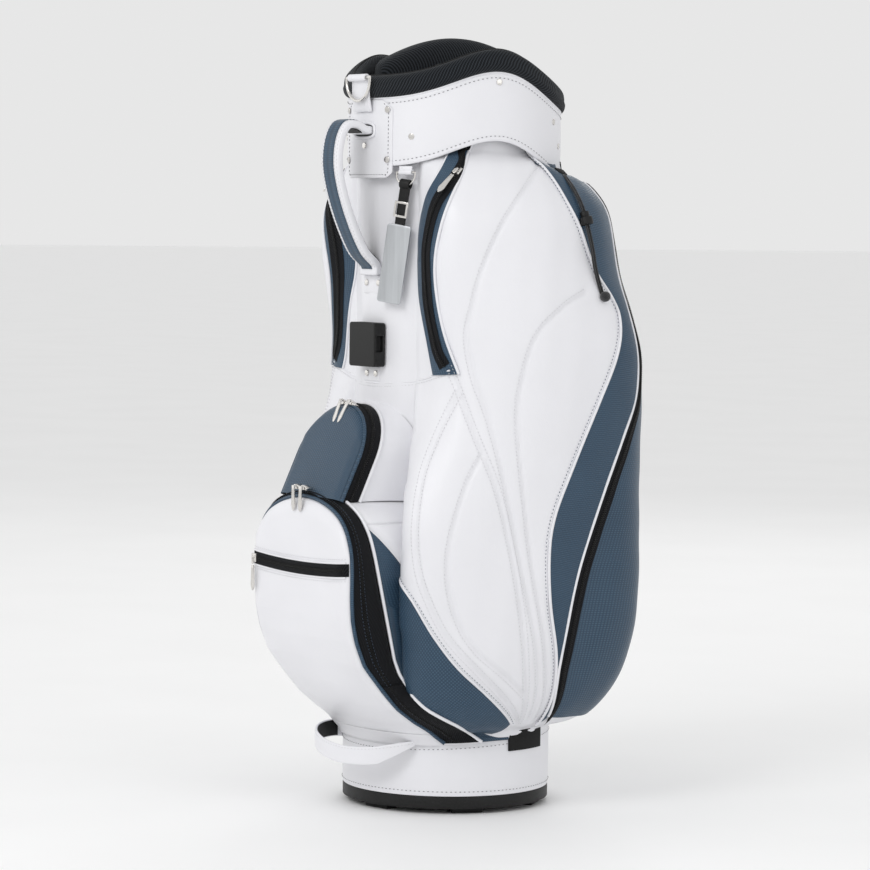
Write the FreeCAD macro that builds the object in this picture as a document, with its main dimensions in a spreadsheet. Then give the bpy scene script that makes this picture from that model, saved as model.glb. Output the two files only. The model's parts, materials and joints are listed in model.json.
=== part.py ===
import FreeCAD, Part
import math
import os
from FreeCAD import Placement, Rotation, Vector

# A caddie golf bag: a moulded base, a tube with side, rear and front pockets, a padded
# six-way top, a handle, and small hardware that hangs, slides and swings.
# The origin is on the floor on the tube's axis. +Z is up, -Y is the front with the ball
# pocket and the handle, and +X is the side that carries the umbrella fittings.
# An angle round the bag is counted from the front (-Y) towards +X.

doc = FreeCAD.newDocument("GolfBag")
sheet = doc.addObject("Spreadsheet::Sheet", "Sizes")
sheet.Label = "sizes"

SIZES = {
    "clearance": 0.3,
    "cloth_wall": 2.5,
    # tube
    "tube_radius": 107.5,
    "cover_thickness": 2.2,
    "liner_thickness": 1.5,
    "floor_top": 20.0,
    "cover_top": 770.0,
    # base
    "foot_height": 6.0,
    "foot_length": 36.0,
    "foot_width": 16.0,
    "foot_circle": 109.0,
    "base_radius": 119.0,
    "cup_top": 74.0,
    "band_thickness": 2.6,
    "band_front_top": 77.0,
    "band_back_top": 91.0,
    "loop_width": 20.0,
    "loop_thickness": 3.0,
    "loop_seat": 0.4,
    "loop_right_level": 74.0,
    "loop_left_level": 79.0,
    # top
    "collar_radius": 122.0,
    "collar_thickness": 3.0,
    "frame_thickness": 7.0,
    "rim_front": 806.0,
    "rim_side_rise": 36.0,
    "rim_back_drop": 14.0,
    "collar_drop": 76.0,
    "frame_drop": 42.0,
    "cuff_rise": 26.0,
    "cuff_thickness": 20.0,
    "cuff_overhang": 5.0,
    "divider_peak": 880.0,
    "divider_end": 848.0,
    "divider_width": 28.0,
    "cross_bar_width": 16.0,
    "cross_bar_spacing": 68.0,
    "cross_bar_top": 850.0,
    "divider_depth": 50.0,
    "cloth_sheet": 1.2,
    # pockets
    "pocket_bottom": 95.0,
    "pocket_top": 740.0,
    "pocket_bottom_radius": 121.0,
    "pocket_top_radius": 117.0,
    "bottom_rounding": 150.0,
    "top_rounding": 66.0,
    "belly_level": 340.0,
    "middle_level": 500.0,
    "waist_level": 655.0,
    "ball_half_width": 100.0,
    "ball_bottom": 92.0,
    "ball_peak": 366.0,
    "ball_arch_radius": 216.0,
    "ball_depth": 207.0,
    "ball_lid_depth": 19.0,
    "lid_hinge_y": -122.5,
    "lid_hinge_z": 91.5,
    "valuables_radius": 62.0,
    "valuables_peak": 462.0,
    "valuables_front": 146.0,
    "valuables_lean": 25.0,
    "valuables_drop": 60.0,
    # handle
    "handle_width": 35.0,
    "handle_thickness": 10.0,
    "handle_reach": 172.0,
    "handle_slot_level": 771.0,
    "tab_bottom": 717.0,
    "tab_thickness": 2.5,
    "tab_half_angle": 21.0,
    "handle_foot_level": 606.0,
    # hardware
    "wire": 3.6,
    "rivet_radius": 3.6,
    "rivet_height": 1.2,
    "ring_width": 50.0,
    "ring_drop": 26.0,
    "ring_bar_reach": 133.0,
    "ring_bar_rise": 24.0,
    "tag_level": 724.0,
    "tag_strap_length": 46.0,
    "tag_strap_width": 12.0,
    "tag_reach": 120.0,
    "tag_angle": 28.5,
    "tag_lean": 8.4,
    "tag_width": 30.0,
    "tag_length": 89.0,
    "buckle_width": 52.0,
    "buckle_height": 50.0,
    "buckle_depth": 15.0,
    "buckle_level": 504.0,
    "hood_strap_width": 30.0,
    "hood_strap_length": 16.0,
    "face_zip_level": 282.0,
    "tip_pocket_bottom": 70.0,
    "slider_length": 10.0,
    "slider_width": 9.0,
    "slider_height": 3.6,
    "pull_length": 30.0,
    "pull_width": 7.0,
    "pull_thickness": 1.8,
    "cord_diameter": 2.6,
}
for row, (alias, value) in enumerate(SIZES.items(), start=1):
    sheet.set(f"A{row}", alias)
    sheet.set(f"B{row}", str(value))
    sheet.setAlias(f"B{row}", alias)
doc.recompute()


def size(alias):
    return float(getattr(sheet, alias))


nodes = []


def keep(obj, label):
    """Give a finished sub-part its own label and list it for export."""
    obj.Label = label
    nodes.append(obj)
    return obj


def feature(label, shape, placement=None):
    """A sub-part whose shape comes from Part's own functions."""
    obj = doc.addObject("Part::Feature", label)
    obj.Shape = shape
    if placement is not None:
        obj.Placement = placement
    return keep(obj, label)


def primitive(kind, name, sizes, placement=None):
    """A Part primitive whose sizes are expressions on the sheet."""
    obj = doc.addObject(f"Part::{kind}", name)
    for prop, expression in sizes.items():
        obj.setExpression(prop, expression)
    if placement is not None:
        obj.Placement = placement
    return obj


def cut(name, base, tool):
    obj = doc.addObject("Part::Cut", name)
    obj.Base = base
    obj.Tool = tool
    return obj


def fuse(name, shapes):
    obj = doc.addObject("Part::MultiFuse", name)
    obj.Shapes = shapes
    return obj


def around(angle, radius, z):
    """The point at an angle round the bag."""
    turn = math.radians(angle)
    return Vector(radius * math.sin(turn), -radius * math.cos(turn), z)


def facing(angle, radius, z):
    """A placement whose X runs round the bag, Y points outwards and Z is up."""
    return Placement(around(angle, radius, z), Rotation(Vector(0, 0, 1), angle + 180))


def smooth(points, closed=False):
    curve = Part.BSplineCurve()
    if closed:
        curve.interpolate(Points=points, PeriodicFlag=True)
    else:
        curve.interpolate(points)
    return curve


def blend(u):
    """Eases from 0 to 1."""
    u = min(1.0, max(0.0, u))
    return u * u * (3 - 2 * u)


# ---------------------------------------------------------------- base


def make_base():
    """The moulded tray with its cup wall and feet, and the leather band round it."""
    plate = primitive(
        "Cylinder", "BasePlate",
        {"Radius": "Sizes.base_radius", "Height": "Sizes.floor_top - Sizes.foot_height"},
    )
    plate.setExpression("Placement.Base.z", "Sizes.foot_height")
    wall = primitive(
        "Cylinder", "CupOutside",
        {
            "Radius": "Sizes.base_radius - Sizes.band_thickness - Sizes.clearance",
            "Height": "Sizes.cup_top - Sizes.floor_top + 1",
        },
    )
    wall.setExpression("Placement.Base.z", "Sizes.floor_top - 1")
    bore = primitive(
        "Cylinder", "CupInside",
        {
            "Radius": "Sizes.tube_radius + Sizes.clearance",
            "Height": "Sizes.cup_top",
        },
    )
    bore.setExpression("Placement.Base.z", "Sizes.floor_top")
    feet = []
    for index in range(6):
        foot = primitive(
            "Box", f"Foot{index + 1}",
            {
                "Length": "Sizes.foot_length",
                "Width": "Sizes.foot_width",
                "Height": "Sizes.foot_height + 1",
            },
        )
        turn = Rotation(Vector(0, 0, 1), 9 + 60 * index)
        reach = size("foot_circle") - size("foot_width") / 2
        corner = turn.multVec(Vector(-size("foot_length") / 2, -reach - size("foot_width") / 2, 0))
        foot.Placement = Placement(corner, turn)
        feet.append(foot)
    boss = primitive(
        "Cylinder", "CentreFoot",
        {"Radius": "Sizes.foot_length", "Height": "Sizes.foot_height + 1"},
    )
    tray = fuse("TraySolid", [plate, wall, boss] + feet)
    keep(cut("BaseTray", tray, bore), "base_tray")

    outer = size("base_radius")
    inner = outer - size("band_thickness")
    low = size("floor_top") + size("clearance")

    def top(angle):
        share = (1 - math.cos(math.radians(angle))) / 2
        return size("band_front_top") + share * (size("band_back_top") - size("band_front_top"))

    profile = [
        lambda angle: (inner, low),
        lambda angle: (outer, low),
        lambda angle: (outer, top(angle)),
        lambda angle: (inner, top(angle)),
    ]
    feature("base_band", ring(profile))


def closed_edge(path, count=36):
    points = []
    for index in range(count):
        angle = 360 * index / count
        radius, z = path(angle)
        points.append(around(angle, radius, z))
    return smooth(points, closed=True).toShape()


def ring(profile):
    """A closed ring whose section corners are (radius, height) functions of the angle."""
    edges = [closed_edge(path) for path in profile]
    faces = [Part.makeRuledSurface(edges[i - 1], edges[i]) for i in range(len(edges))]
    solid = Part.makeSolid(Part.makeShell(faces))
    if solid.Volume < 0:
        solid.reverse()
    return solid


def band(points, thickness, width):
    """A flat strap seen edge on in the Y-Z plane, as wide as given along X."""
    count = len(points)
    sides = ([], [])
    for index, (y, z) in enumerate(points):
        before = points[max(0, index - 1)]
        after = points[min(count - 1, index + 1)]
        along = Vector(0, after[0] - before[0], after[1] - before[1]).normalize()
        across = Vector(0, -along.z, along.y) * (thickness / 2)
        sides[0].append(Vector(-width / 2, y, z) + across)
        sides[1].append(Vector(-width / 2, y, z) - across)
    one = smooth(sides[0]).toShape()
    two = smooth(sides[1]).toShape()
    start = Part.makeLine(sides[0][0], sides[1][0])
    end = Part.makeLine(sides[0][-1], sides[1][-1])
    face = Part.Face(Part.Wire([start, two, end, one]))
    return face.extrude(Vector(width, 0, 0))


def base_handle():
    """The leather strap that bows forward from the front of the base band."""
    half = size("loop_width") / 2
    thick = size("loop_thickness") / 2
    reach = size("base_radius") + size("loop_seat") + 0.7 * thick
    # the ends stand on the band, and the places between are (x, y, z)
    places = [around(40, reach, size("loop_right_level"))]
    places += [Vector(*p) for p in LOOP_ROUTE]
    places += [around(-40, reach, size("loop_left_level"))]
    wires = []
    last = len(places) - 1
    for index, place in enumerate(places):
        way = places[min(index + 1, last)] - places[max(index - 1, 0)]
        out = Vector(way.y, -way.x, 0).normalize() * thick
        rise = Vector(0, 0, half)
        wires.append(Part.makePolygon([
            place + out + rise, place - out + rise, place - out - rise, place + out - rise,
            place + out + rise,
        ]))
    feature("base_handle", Part.makeLoft(wires, True, False))


# Places along the middle of the base strap, from its right end to its left.
LOOP_ROUTE = (
    (76, -107, 72), (67, -127, 69), (50, -146, 66.5), (27, -160, 66.5), (0, -165, 70),
    (-27, -160, 75), (-50, -146, 78.5), (-67, -127, 80), (-76, -107, 80),
)


# ---------------------------------------------------------------- tube and top


def make_tube():
    """The stiff inner tube, the cover over it, two stays and the divider cloths."""
    inner = size("tube_radius") - size("cover_thickness")
    outside = primitive(
        "Cylinder", "LinerOutside",
        {"Radius": "Sizes.tube_radius - Sizes.cover_thickness",
         "Height": "Sizes.cover_top - Sizes.floor_top"},
    )
    inside = primitive(
        "Cylinder", "LinerInside",
        {"Radius": "Sizes.tube_radius - Sizes.cover_thickness - Sizes.liner_thickness",
         "Height": "Sizes.cover_top"},
    )
    liner = cut("LinerTube", outside, inside)
    liner.setExpression("Placement.Base.z", "Sizes.floor_top")
    keep(liner, "liner_tube")

    cover_out = primitive(
        "Cylinder", "CoverOutside",
        {"Radius": "Sizes.tube_radius", "Height": "Sizes.cover_top - Sizes.floor_top"},
    )
    cover_in = primitive(
        "Cylinder", "CoverInside",
        {"Radius": "Sizes.tube_radius - Sizes.cover_thickness", "Height": "Sizes.cover_top"},
    )
    cover = cut("BodyCover", cover_out, cover_in)
    cover.setExpression("Placement.Base.z", "Sizes.floor_top")
    keep(cover, "body_cover")

    wall = size("cloth_sheet")
    reach = inner - size("liner_thickness") - size("clearance")
    low = size("floor_top") + size("clearance")
    high = size("cross_bar_top") - size("divider_depth") - size("clearance")
    spine = Part.makeBox(wall, 2 * reach, high - low, Vector(-wall / 2, -reach, low))
    cloths = [spine]
    for side in (-1, 1):
        y = side * size("cross_bar_spacing") / 2
        half = math.sqrt(reach * reach - (abs(y) + wall) ** 2)
        cloths.append(Part.makeBox(2 * half, wall, high - low, Vector(-half, y - wall / 2, low)))
    walls = cloths[0].fuse(cloths[1:]).removeSplitter()
    feature("club_dividers", walls)

    stay = size("wire") / 2
    rods = []
    for angle in (90, -90):
        foot = around(angle, reach - stay - size("clearance"), low)
        rods.append(Part.makeCylinder(stay, high - low, foot))
    feature("stays", Part.makeCompound(rods))


def rim(angle):
    """Height of the collar's top edge: low at the front, highest at the sides."""
    off_side = (abs(angle_from_front(angle)) - 80) / 34
    rise = size("rim_side_rise") * math.exp(-off_side * off_side)
    drop = size("rim_back_drop") * blend(abs(angle_from_front(angle)) / 180)
    return size("rim_front") + rise - drop


def angle_from_front(angle):
    return (angle + 180) % 360 - 180


def make_top():
    """The moulded top ring, the leather collar on it, the padded cuff and the dividers."""
    outer = size("collar_radius")
    skin = outer - size("collar_thickness")
    frame = skin - size("frame_thickness")
    drop = size("collar_drop")
    rise = size("cuff_rise")
    gap = size("clearance")

    feature("collar", ring([
        lambda angle: (skin, rim(angle) - drop),
        lambda angle: (outer, rim(angle) - drop),
        lambda angle: (outer, rim(angle)),
        lambda angle: (skin, rim(angle)),
    ]))
    feature("top_frame", ring([
        lambda angle: (frame, rim(angle) - size("frame_drop")),
        lambda angle: (skin - gap, rim(angle) - size("frame_drop")),
        lambda angle: (skin - gap, rim(angle) - 2),
        lambda angle: (frame, rim(angle) - 2),
    ]))

    pad_out = outer + size("cuff_overhang")
    pad_in = pad_out - size("cuff_thickness")
    middle = pad_out - size("cuff_thickness") / 2
    feature("cuff", ring([
        lambda angle: (pad_in, rim(angle) + gap),
        lambda angle: (pad_out, rim(angle) + gap),
        lambda angle: (pad_out, rim(angle) + rise * 0.6),
        lambda angle: (middle, rim(angle) + rise),
        lambda angle: (pad_in, rim(angle) + rise * 0.6),
    ]))

    reach = pad_in - gap
    half = size("divider_width") / 2
    peak = size("divider_peak")
    end = size("divider_end")
    low = size("cross_bar_top") - size("divider_depth")
    far = reach + 5
    arch = Part.Arc(Vector(0, -far, end), Vector(0, 0, peak), Vector(0, far, end)).toShape()
    sides = [
        Part.makeLine(Vector(0, -far, low), Vector(0, -far, end)),
        Part.makeLine(Vector(0, far, end), Vector(0, far, low)),
        Part.makeLine(Vector(0, far, low), Vector(0, -far, low)),
    ]
    face = Part.Face(Part.Wire([sides[0], arch, sides[1], sides[2]]))
    bar = face.extrude(Vector(2 * half, 0, 0))
    bar.translate(Vector(-half, 0, 0))
    trim = Part.makeCylinder(reach, 200, Vector(0, 0, low - 50))
    feature("divider_bar", bar.common(trim))

    cross = size("cross_bar_top")
    wide = size("cross_bar_width")
    for name, side in (("front", -1), ("rear", 1)):
        y = side * size("cross_bar_spacing") / 2
        pieces = []
        for hand in (-1, 1):
            start = half + gap
            box = Part.makeBox(reach, wide, cross - low, Vector(start, y - wide / 2, low))
            if hand < 0:
                box = Part.makeBox(reach, wide, cross - low, Vector(-start - reach, y - wide / 2, low))
            pieces.append(box.common(trim))
        for hand, piece in zip(("left", "right"), pieces):
            feature(f"cross_bar_{name}_{hand}", piece)


# ---------------------------------------------------------------- pockets

# Plan outlines of the skin over the side and rear pockets: (angle, radius).
LOWER_PLAN = (
    (36, 165), (43, 184), (52, 186), (70, 181), (90, 184), (110, 198), (128, 219),
    (145, 200), (160, 165), (171, 122),
)
MIDDLE_PLAN = (
    (36, 111), (43, 119), (52, 138), (70, 165), (90, 184), (110, 201), (128, 220),
    (145, 203), (160, 160), (171, 120),
)
UPPER_PLAN = (
    (36, 111), (43, 131), (52, 157), (70, 161), (90, 166), (110, 173), (128, 182),
    (145, 174), (160, 140), (171, 113),
)
POCKET_LEVELS = (0.0, 0.02, 0.06, 0.12, 0.22, 0.38, 0.52, 0.62, 0.7, 0.78, 0.86, 0.92, 0.96, 0.985, 1.0)


def skin_radius(index, z, shrink):
    """Radius of the pocket skin at one of the plan's angles and a height."""
    bottom = size("pocket_bottom") + shrink
    top = size("pocket_top") - shrink
    belly = size("belly_level")
    middle = size("middle_level")
    waist = size("waist_level")
    lower = LOWER_PLAN[index][1]
    mean = MIDDLE_PLAN[index][1]
    upper = UPPER_PLAN[index][1]
    if z < middle:
        full = lower + (mean - lower) * blend((z - belly) / (middle - belly)) - shrink
    else:
        full = mean + (upper - mean) * blend((z - middle) / (waist - middle)) - shrink
    from_bottom = min(1.0, max(0.0, (z - bottom) / size("bottom_rounding")))
    from_top = min(1.0, max(0.0, (top - z) / size("top_rounding")))
    round_bottom = math.sqrt(1 - (1 - from_bottom) ** 2)
    round_top = from_top ** 0.75
    low_end = size("pocket_bottom_radius") - shrink
    high_end = size("pocket_top_radius") - shrink
    if z > middle:
        return high_end + (full - high_end) * round_top
    return low_end + (full - low_end) * round_bottom


def pocket_volume(shrink):
    """The space under the pocket skin on the +X side, from the tube outwards."""
    bottom = size("pocket_bottom") + shrink
    top = size("pocket_top") - shrink
    turn = math.degrees(shrink / size("tube_radius"))
    first = LOWER_PLAN[0][0] + turn
    last = LOWER_PLAN[-1][0] - turn
    span = LOWER_PLAN[-1][0] - LOWER_PLAN[0][0]
    wires = []
    for level in POCKET_LEVELS:
        z = bottom + level * (top - bottom)
        points = []
        for index, (angle, radius) in enumerate(LOWER_PLAN):
            shifted = first + (angle - LOWER_PLAN[0][0]) * (last - first) / span
            points.append(around(shifted, skin_radius(index, z, shrink), z))
        core = size("tube_radius") - 20
        start = around(first, core, z)
        end = around(last, core, z)
        edges = [
            smooth(points).toShape(),
            Part.makeLine(points[-1], end),
            Part.makeLine(end, start),
            Part.makeLine(start, points[0]),
        ]
        wires.append(Part.Wire(edges))
    return Part.makeLoft(wires, True, False)


def arch_outline(grow):
    """Front view of the ball pocket: straight sides and a low arched top."""
    half = size("ball_half_width") + grow
    low = size("ball_bottom") - grow
    radius = size("ball_arch_radius") + grow
    centre = size("ball_peak") - size("ball_arch_radius")
    corner = centre + math.sqrt(radius * radius - half * half)
    left = Vector(-half, 0, corner)
    right = Vector(half, 0, corner)
    arc = Part.Arc(left, Vector(0, 0, centre + radius), right).toShape()
    return Part.Wire([
        Part.makeLine(Vector(-half, 0, low), left),
        arc,
        Part.makeLine(right, Vector(half, 0, low)),
        Part.makeLine(Vector(half, 0, low), Vector(-half, 0, low)),
    ])


def arch_prism(grow, back):
    face = Part.Face(arch_outline(grow))
    prism = face.extrude(Vector(0, -200, 0))
    prism.translate(Vector(0, -back, 0))
    return prism


def side_view_prism(points, half):
    """A prism along X behind a front profile of (y, z) points; its last stretch is straight."""
    front = [Vector(-half, y, z) for y, z in points]
    curve = smooth(front[:-1]).toShape()
    back_low = Vector(-half, 0, front[0].z)
    back_high = Vector(-half, 0, front[-1].z)
    face = Part.Face(Part.Wire([
        curve,
        Part.makeLine(front[-2], front[-1]),
        Part.makeLine(front[-1], back_high),
        Part.makeLine(back_high, back_low),
        Part.makeLine(back_low, front[0]),
    ]))
    return face.extrude(Vector(2 * half, 0, 0))


def ball_volume(shrink):
    """The ball pocket's space: the arch outline under the bellied front profile."""
    deep = -size("ball_depth") + shrink
    low = size("ball_bottom") + shrink
    top = size("ball_peak") + 10
    belly = [
        (-124 + shrink, low), (-140 + shrink, low + 16), (deep + 42, low + 43), (deep + 25, low + 70),
        (deep + 11, low + 98), (deep + 2.5, low + 122), (deep, low + 145), (deep, top),
    ]
    under = side_view_prism(belly, size("ball_half_width") + 30)
    return arch_prism(-shrink, 60.0).common(under)


def hinge_box(offset):
    """The half space in front of the plane through the lid's hinge and the zip."""
    hinge = Vector(0, size("lid_hinge_y"), size("lid_hinge_z"))
    top_y = -(size("ball_depth") - size("ball_lid_depth"))
    rise = size("ball_peak") - size("lid_hinge_z")
    lean = math.degrees(math.atan2(size("lid_hinge_y") - top_y, rise))
    box = Part.makeBox(400, 300, 600, Vector(-200, -300 - offset, -100))
    box.Placement = Placement(hinge, Rotation(Vector(1, 0, 0), lean))
    return box


def under_collar(gap):
    """The room that the collar's lower edge and its top frame need above the pockets."""
    inner = size("collar_radius") - size("collar_thickness") - gap
    drop = size("collar_drop") + gap
    return ring([
        lambda angle: (inner, rim(angle) - drop),
        lambda angle: (inner + 160, rim(angle) - drop),
        lambda angle: (inner + 160, rim(angle)),
        lambda angle: (inner, rim(angle)),
    ])


def dome_frame():
    """The dome pocket's leaning face: X across, Y into the bag, Z up the face."""
    top = Vector(0, -size("valuables_front"), size("valuables_peak"))
    turn = Rotation(Vector(1, 0, 0), -size("valuables_lean"))
    return Placement(top - turn.multVec(Vector(0, 0, size("valuables_radius"))), turn)


def make_pockets():
    """Side and rear pockets on both sides, the dome pocket and the ball pocket."""
    gap = size("clearance")
    wall = size("cloth_wall")
    tube = Part.makeCylinder(size("tube_radius") + gap, 900)
    tube_wall = Part.makeCylinder(size("tube_radius") + gap + wall, 900)
    outer = pocket_volume(0).cut(tube).cut(arch_prism(2 * gap, 59.0)).cut(under_collar(2 * gap))
    inner = pocket_volume(wall).cut(tube_wall).cut(arch_prism(2 * gap + wall, 59.0))
    inner = inner.cut(under_collar(2 * gap + wall))
    # the slanting rear zip parts the side pocket from the rear pocket
    lean = math.degrees(math.atan2(120, 350))
    cutter = Part.makeBox(400, 400, 1400, Vector(0, 0, -600))
    cutter.Placement = Placement(Vector(0, 5, 100), Rotation(Vector(1, 0, 0), -lean))
    behind = cutter.copy()
    behind.translate(Vector(0, wall, 0))
    before = cutter.copy()
    before.translate(Vector(0, -wall, 0))
    apart = cutter.copy()
    apart.translate(Vector(0, -2 * gap, 0))
    side = outer.cut(apart).cut(inner.cut(before))
    rear = outer.common(cutter).cut(inner.common(behind))
    mirror = FreeCAD.Matrix(-1, 0, 0, 0, 0, 1, 0, 0, 0, 0, 1, 0, 0, 0, 0, 1)
    right = feature("side_pocket_right", side)
    feature("rear_pocket_right", rear)
    left = feature("side_pocket_left", side.transformGeometry(mirror))
    feature("rear_pocket_left", rear.transformGeometry(mirror))

    # dome pocket for valuables, closed all round, standing on the ball pocket's arch
    radius = size("valuables_radius")

    def dome(shrink):
        r = radius - shrink
        foot = -(size("valuables_drop") - shrink)
        arc = Part.Arc(Vector(-r, 0, 0), Vector(0, 0, r), Vector(r, 0, 0)).toShape()
        outline = Part.Wire([
            Part.makeLine(Vector(-r, 0, foot), Vector(-r, 0, 0)),
            arc,
            Part.makeLine(Vector(r, 0, 0), Vector(r, 0, foot)),
            Part.makeLine(Vector(r, 0, foot), Vector(-r, 0, foot)),
        ])
        prism = Part.Face(outline).extrude(Vector(0, 130, 0))
        prism.translate(Vector(0, shrink, 0))
        prism.Placement = dome_frame().multiply(prism.Placement)
        return prism

    low = Part.makeBox(400, 400, 400, Vector(-200, -300, size("ball_peak") - 430))
    shell = dome(0).cut(tube).cut(arch_prism(2 * gap, 60.0)).cut(low)
    hollow = dome(wall).cut(tube_wall).cut(arch_prism(2 * gap + wall, 60.0)).cut(low)
    feature("valuables_pocket", shell.cut(hollow))

    # ball pocket: a fixed gusset on the tube and a front panel that swings down
    shell = ball_volume(0).cut(tube).cut(ball_volume(wall).cut(tube_wall))
    feature("ball_pocket", shell.cut(hinge_box(-gap)))
    feature("ball_pocket_lid", shell.common(hinge_box(gap)))
    return right.Shape


# ---------------------------------------------------------------- handle and front hardware


def make_handle():
    """The leather tab with its slot, the padded handle, its lower anchor and the rivets."""
    gap = size("clearance")
    outer = size("collar_radius") + gap
    thick = size("tab_thickness")
    low = size("tab_bottom")
    high = size("rim_front")
    spread = size("tab_half_angle")
    out_cyl = Part.makeCylinder(outer + thick, high - low, Vector(0, 0, low), Vector(0, 0, 1), 2 * spread)
    in_cyl = Part.makeCylinder(outer, high - low, Vector(0, 0, low), Vector(0, 0, 1), 360)
    tab = out_cyl.cut(in_cyl)
    tab.rotate(Vector(0, 0, 0), Vector(0, 0, 1), -90 - spread)
    half = size("handle_width") / 2
    level = size("handle_slot_level")
    tall = size("handle_thickness") / 2 + 1
    slot = Part.makeBox(2 * half + 2, 60, 2 * tall, Vector(-half - 1, -160, level - tall))
    feature("handle_tab", tab.cut(slot))

    start = -(outer + 3 * gap)
    reach = -(size("handle_reach") - size("handle_thickness") / 2)
    foot = size("handle_foot_level")
    close = -(size("tube_radius") + gap + size("handle_thickness") / 2)
    route = [
        (start, level), (start - 9, level + 1), (start - 20, level + 6), (start - 33, level + 4),
        (reach + 2.5, level - 12),
        (reach, level - 38), (reach + 6, level - 68), (reach + 19, level - 103),
        (reach + 36, level - 135), (close - 2, foot + 14), (close, foot + 2),
    ]
    feature("handle", band(route, size("handle_thickness"), size("handle_width")))

    plate = size("cover_thickness")
    face = -(size("tube_radius") + gap)
    anchor = Part.makeBox(2 * half, plate, 20, Vector(-half, face - plate, foot - 19))
    feature("handle_anchor", anchor)
    feature("anchor_rivets", rivets([
        (Vector(side * 12, face - plate, foot - 7), Vector(0, -1, 0)) for side in (-1, 1)
    ]))
    spots = [(18, high - 12), (-18, high - 12), (18, low + 21), (-18, low + 21), (1, low + 37)]
    feature("tab_rivets", rivets([
        (around(angle, outer + thick, z), around(angle, 1, 0)) for angle, z in spots
    ]))


def rivets(places):
    """Low round heads that stand on a surface: (point, outward direction)."""
    heads = []
    for point, way in places:
        base = point + way * (size("clearance") / 4)
        heads.append(Part.makeCylinder(size("rivet_radius"), size("rivet_height"), base, way))
    return Part.makeCompound(heads)


def d_ring(width, drop, wire):
    """A ring with a straight bar along X at its top and a bow that hangs below it."""
    half = width / 2 - wire / 2
    bow = Part.Arc(Vector(-half, 0, 0), Vector(0, 0, -drop), Vector(half, 0, 0))
    way = bow.tangent(bow.FirstParameter)[0]
    section = Part.Wire([Part.makeCircle(wire / 2, Vector(-half, 0, 0), way)])
    pipe = Part.Wire([bow.toShape()]).makePipeShell([section], True, False)
    bar = Part.makeCylinder(wire / 2, 2 * half, Vector(-half, 0, 0), Vector(1, 0, 0))
    ends = [Part.makeSphere(wire / 2, Vector(side * half, 0, 0)) for side in (-1, 1)]
    return pipe.fuse([bar] + ends)


def eye(length, bore, wall):
    """A leather eye that wraps a ring's bar along X."""
    start = Vector(-length / 2, 0, 0)
    outside = Part.makeCylinder(bore + wall, length, start, Vector(1, 0, 0))
    return outside.cut(Part.makeCylinder(bore, length, start, Vector(1, 0, 0)))


def make_top_ring():
    """The large D-ring in its leather loop above the tab."""
    gap = size("clearance")
    wire = size("wire")
    thick = 2.0
    bar_y = -size("ring_bar_reach")
    bar_z = size("rim_front") + size("ring_bar_rise")
    surface = -(size("collar_radius") + gap + size("tab_thickness") + gap + thick / 2)
    strap = band(
        [(surface, bar_z - 38), (surface - 1.3, bar_z - 30), (surface - 2.7, bar_z - 23),
         (surface - 3.2, bar_z - 12), (surface - 3.4, bar_z - 1)],
        thick, 34.0,
    )
    wrap = eye(34.0, wire / 2 + gap, thick)
    wrap.translate(Vector(0, bar_y, bar_z))
    hole = Part.makeCylinder(wire / 2 + gap, 60, Vector(-30, bar_y, bar_z), Vector(1, 0, 0))
    feature("ring_loop", strap.cut(hole).fuse(wrap))
    ring_shape = d_ring(size("ring_width"), size("ring_drop"), wire)
    feature("shoulder_ring", ring_shape, Placement(Vector(0, bar_y, bar_z), Rotation()))


def make_tag():
    """The hanging name tag: leather loop, small D-ring, strap with its buckle, and plate."""
    gap = size("clearance")
    angle = size("tag_angle")
    level = size("tag_level")
    radius = size("tag_reach")
    frame = facing(angle, radius, level)
    wire = 2.4
    bore = wire / 2 + gap
    loop = eye(16, bore, 1.6).fuse(Part.makeBox(16, 2, 4.6, Vector(-8, -1, bore + 0.8)))
    feature("tag_loop", loop, frame)
    drop = 14.0
    feature("tag_ring", d_ring(25, drop, wire), frame)

    # strap: a closed eye round the ring's bow, then a flat double strap that leans forwards
    bow_room = wire + 5 * gap
    lean = Rotation(Vector(0, 1, 0), -size("tag_lean"))
    hang = frame.multiply(Placement(Vector(0, 0, 0.9 - drop), lean))
    strap_long = size("tag_strap_length")
    strap_wide = size("tag_strap_width")
    strap = Part.makeBox(strap_wide, 3.0, strap_long, Vector(-strap_wide / 2, -1.5, -strap_long))
    strap = strap.cut(Part.makeCylinder(bow_room, 40, Vector(-20, 0, 0), Vector(1, 0, 0)))
    feature("tag_strap", strap.fuse(eye(strap_wide, bow_room, 1.5)), hang)
    rim_wide = strap_wide + 5
    rim_box = Part.makeBox(rim_wide, 1.8, 18, Vector(-rim_wide / 2, 1.5 + gap, -38))
    rim_box = rim_box.cut(Part.makeBox(strap_wide, 3, 13, Vector(-strap_wide / 2, 1.2, -35.5)))
    feature("tag_buckle", rim_box, hang)

    # plate: hangs from the strap's end
    width = size("tag_width")
    long = size("tag_length")
    plate = Part.makeBox(width, 2.0, long, Vector(-width / 2, -1, -long))
    plate = plate.makeFillet(3, [e for e in plate.Edges if abs(e.Length - 2.0) < 1e-6])
    low = hang.multiply(Placement(Vector(0, 0, -strap_long - gap), Rotation()))
    feature("name_tag", plate, low)
    show_hinge("tag_ring", frame, Vector(0, 0, 0))
    show_hinge("tag_strap", hang, Vector(0, 0, 0))
    show_hinge("name_tag", low, Vector(0, 1, 0))


def show_hinge(name, frame, point):
    """Prints a hinge's place and its axis, the frame's X."""
    place = frame.multVec(point)
    axis = frame.Rotation.multVec(Vector(1, 0, 0))
    print(f"hinge {name}", [round(v, 3) for v in place], [round(v, 5) for v in axis])


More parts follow.
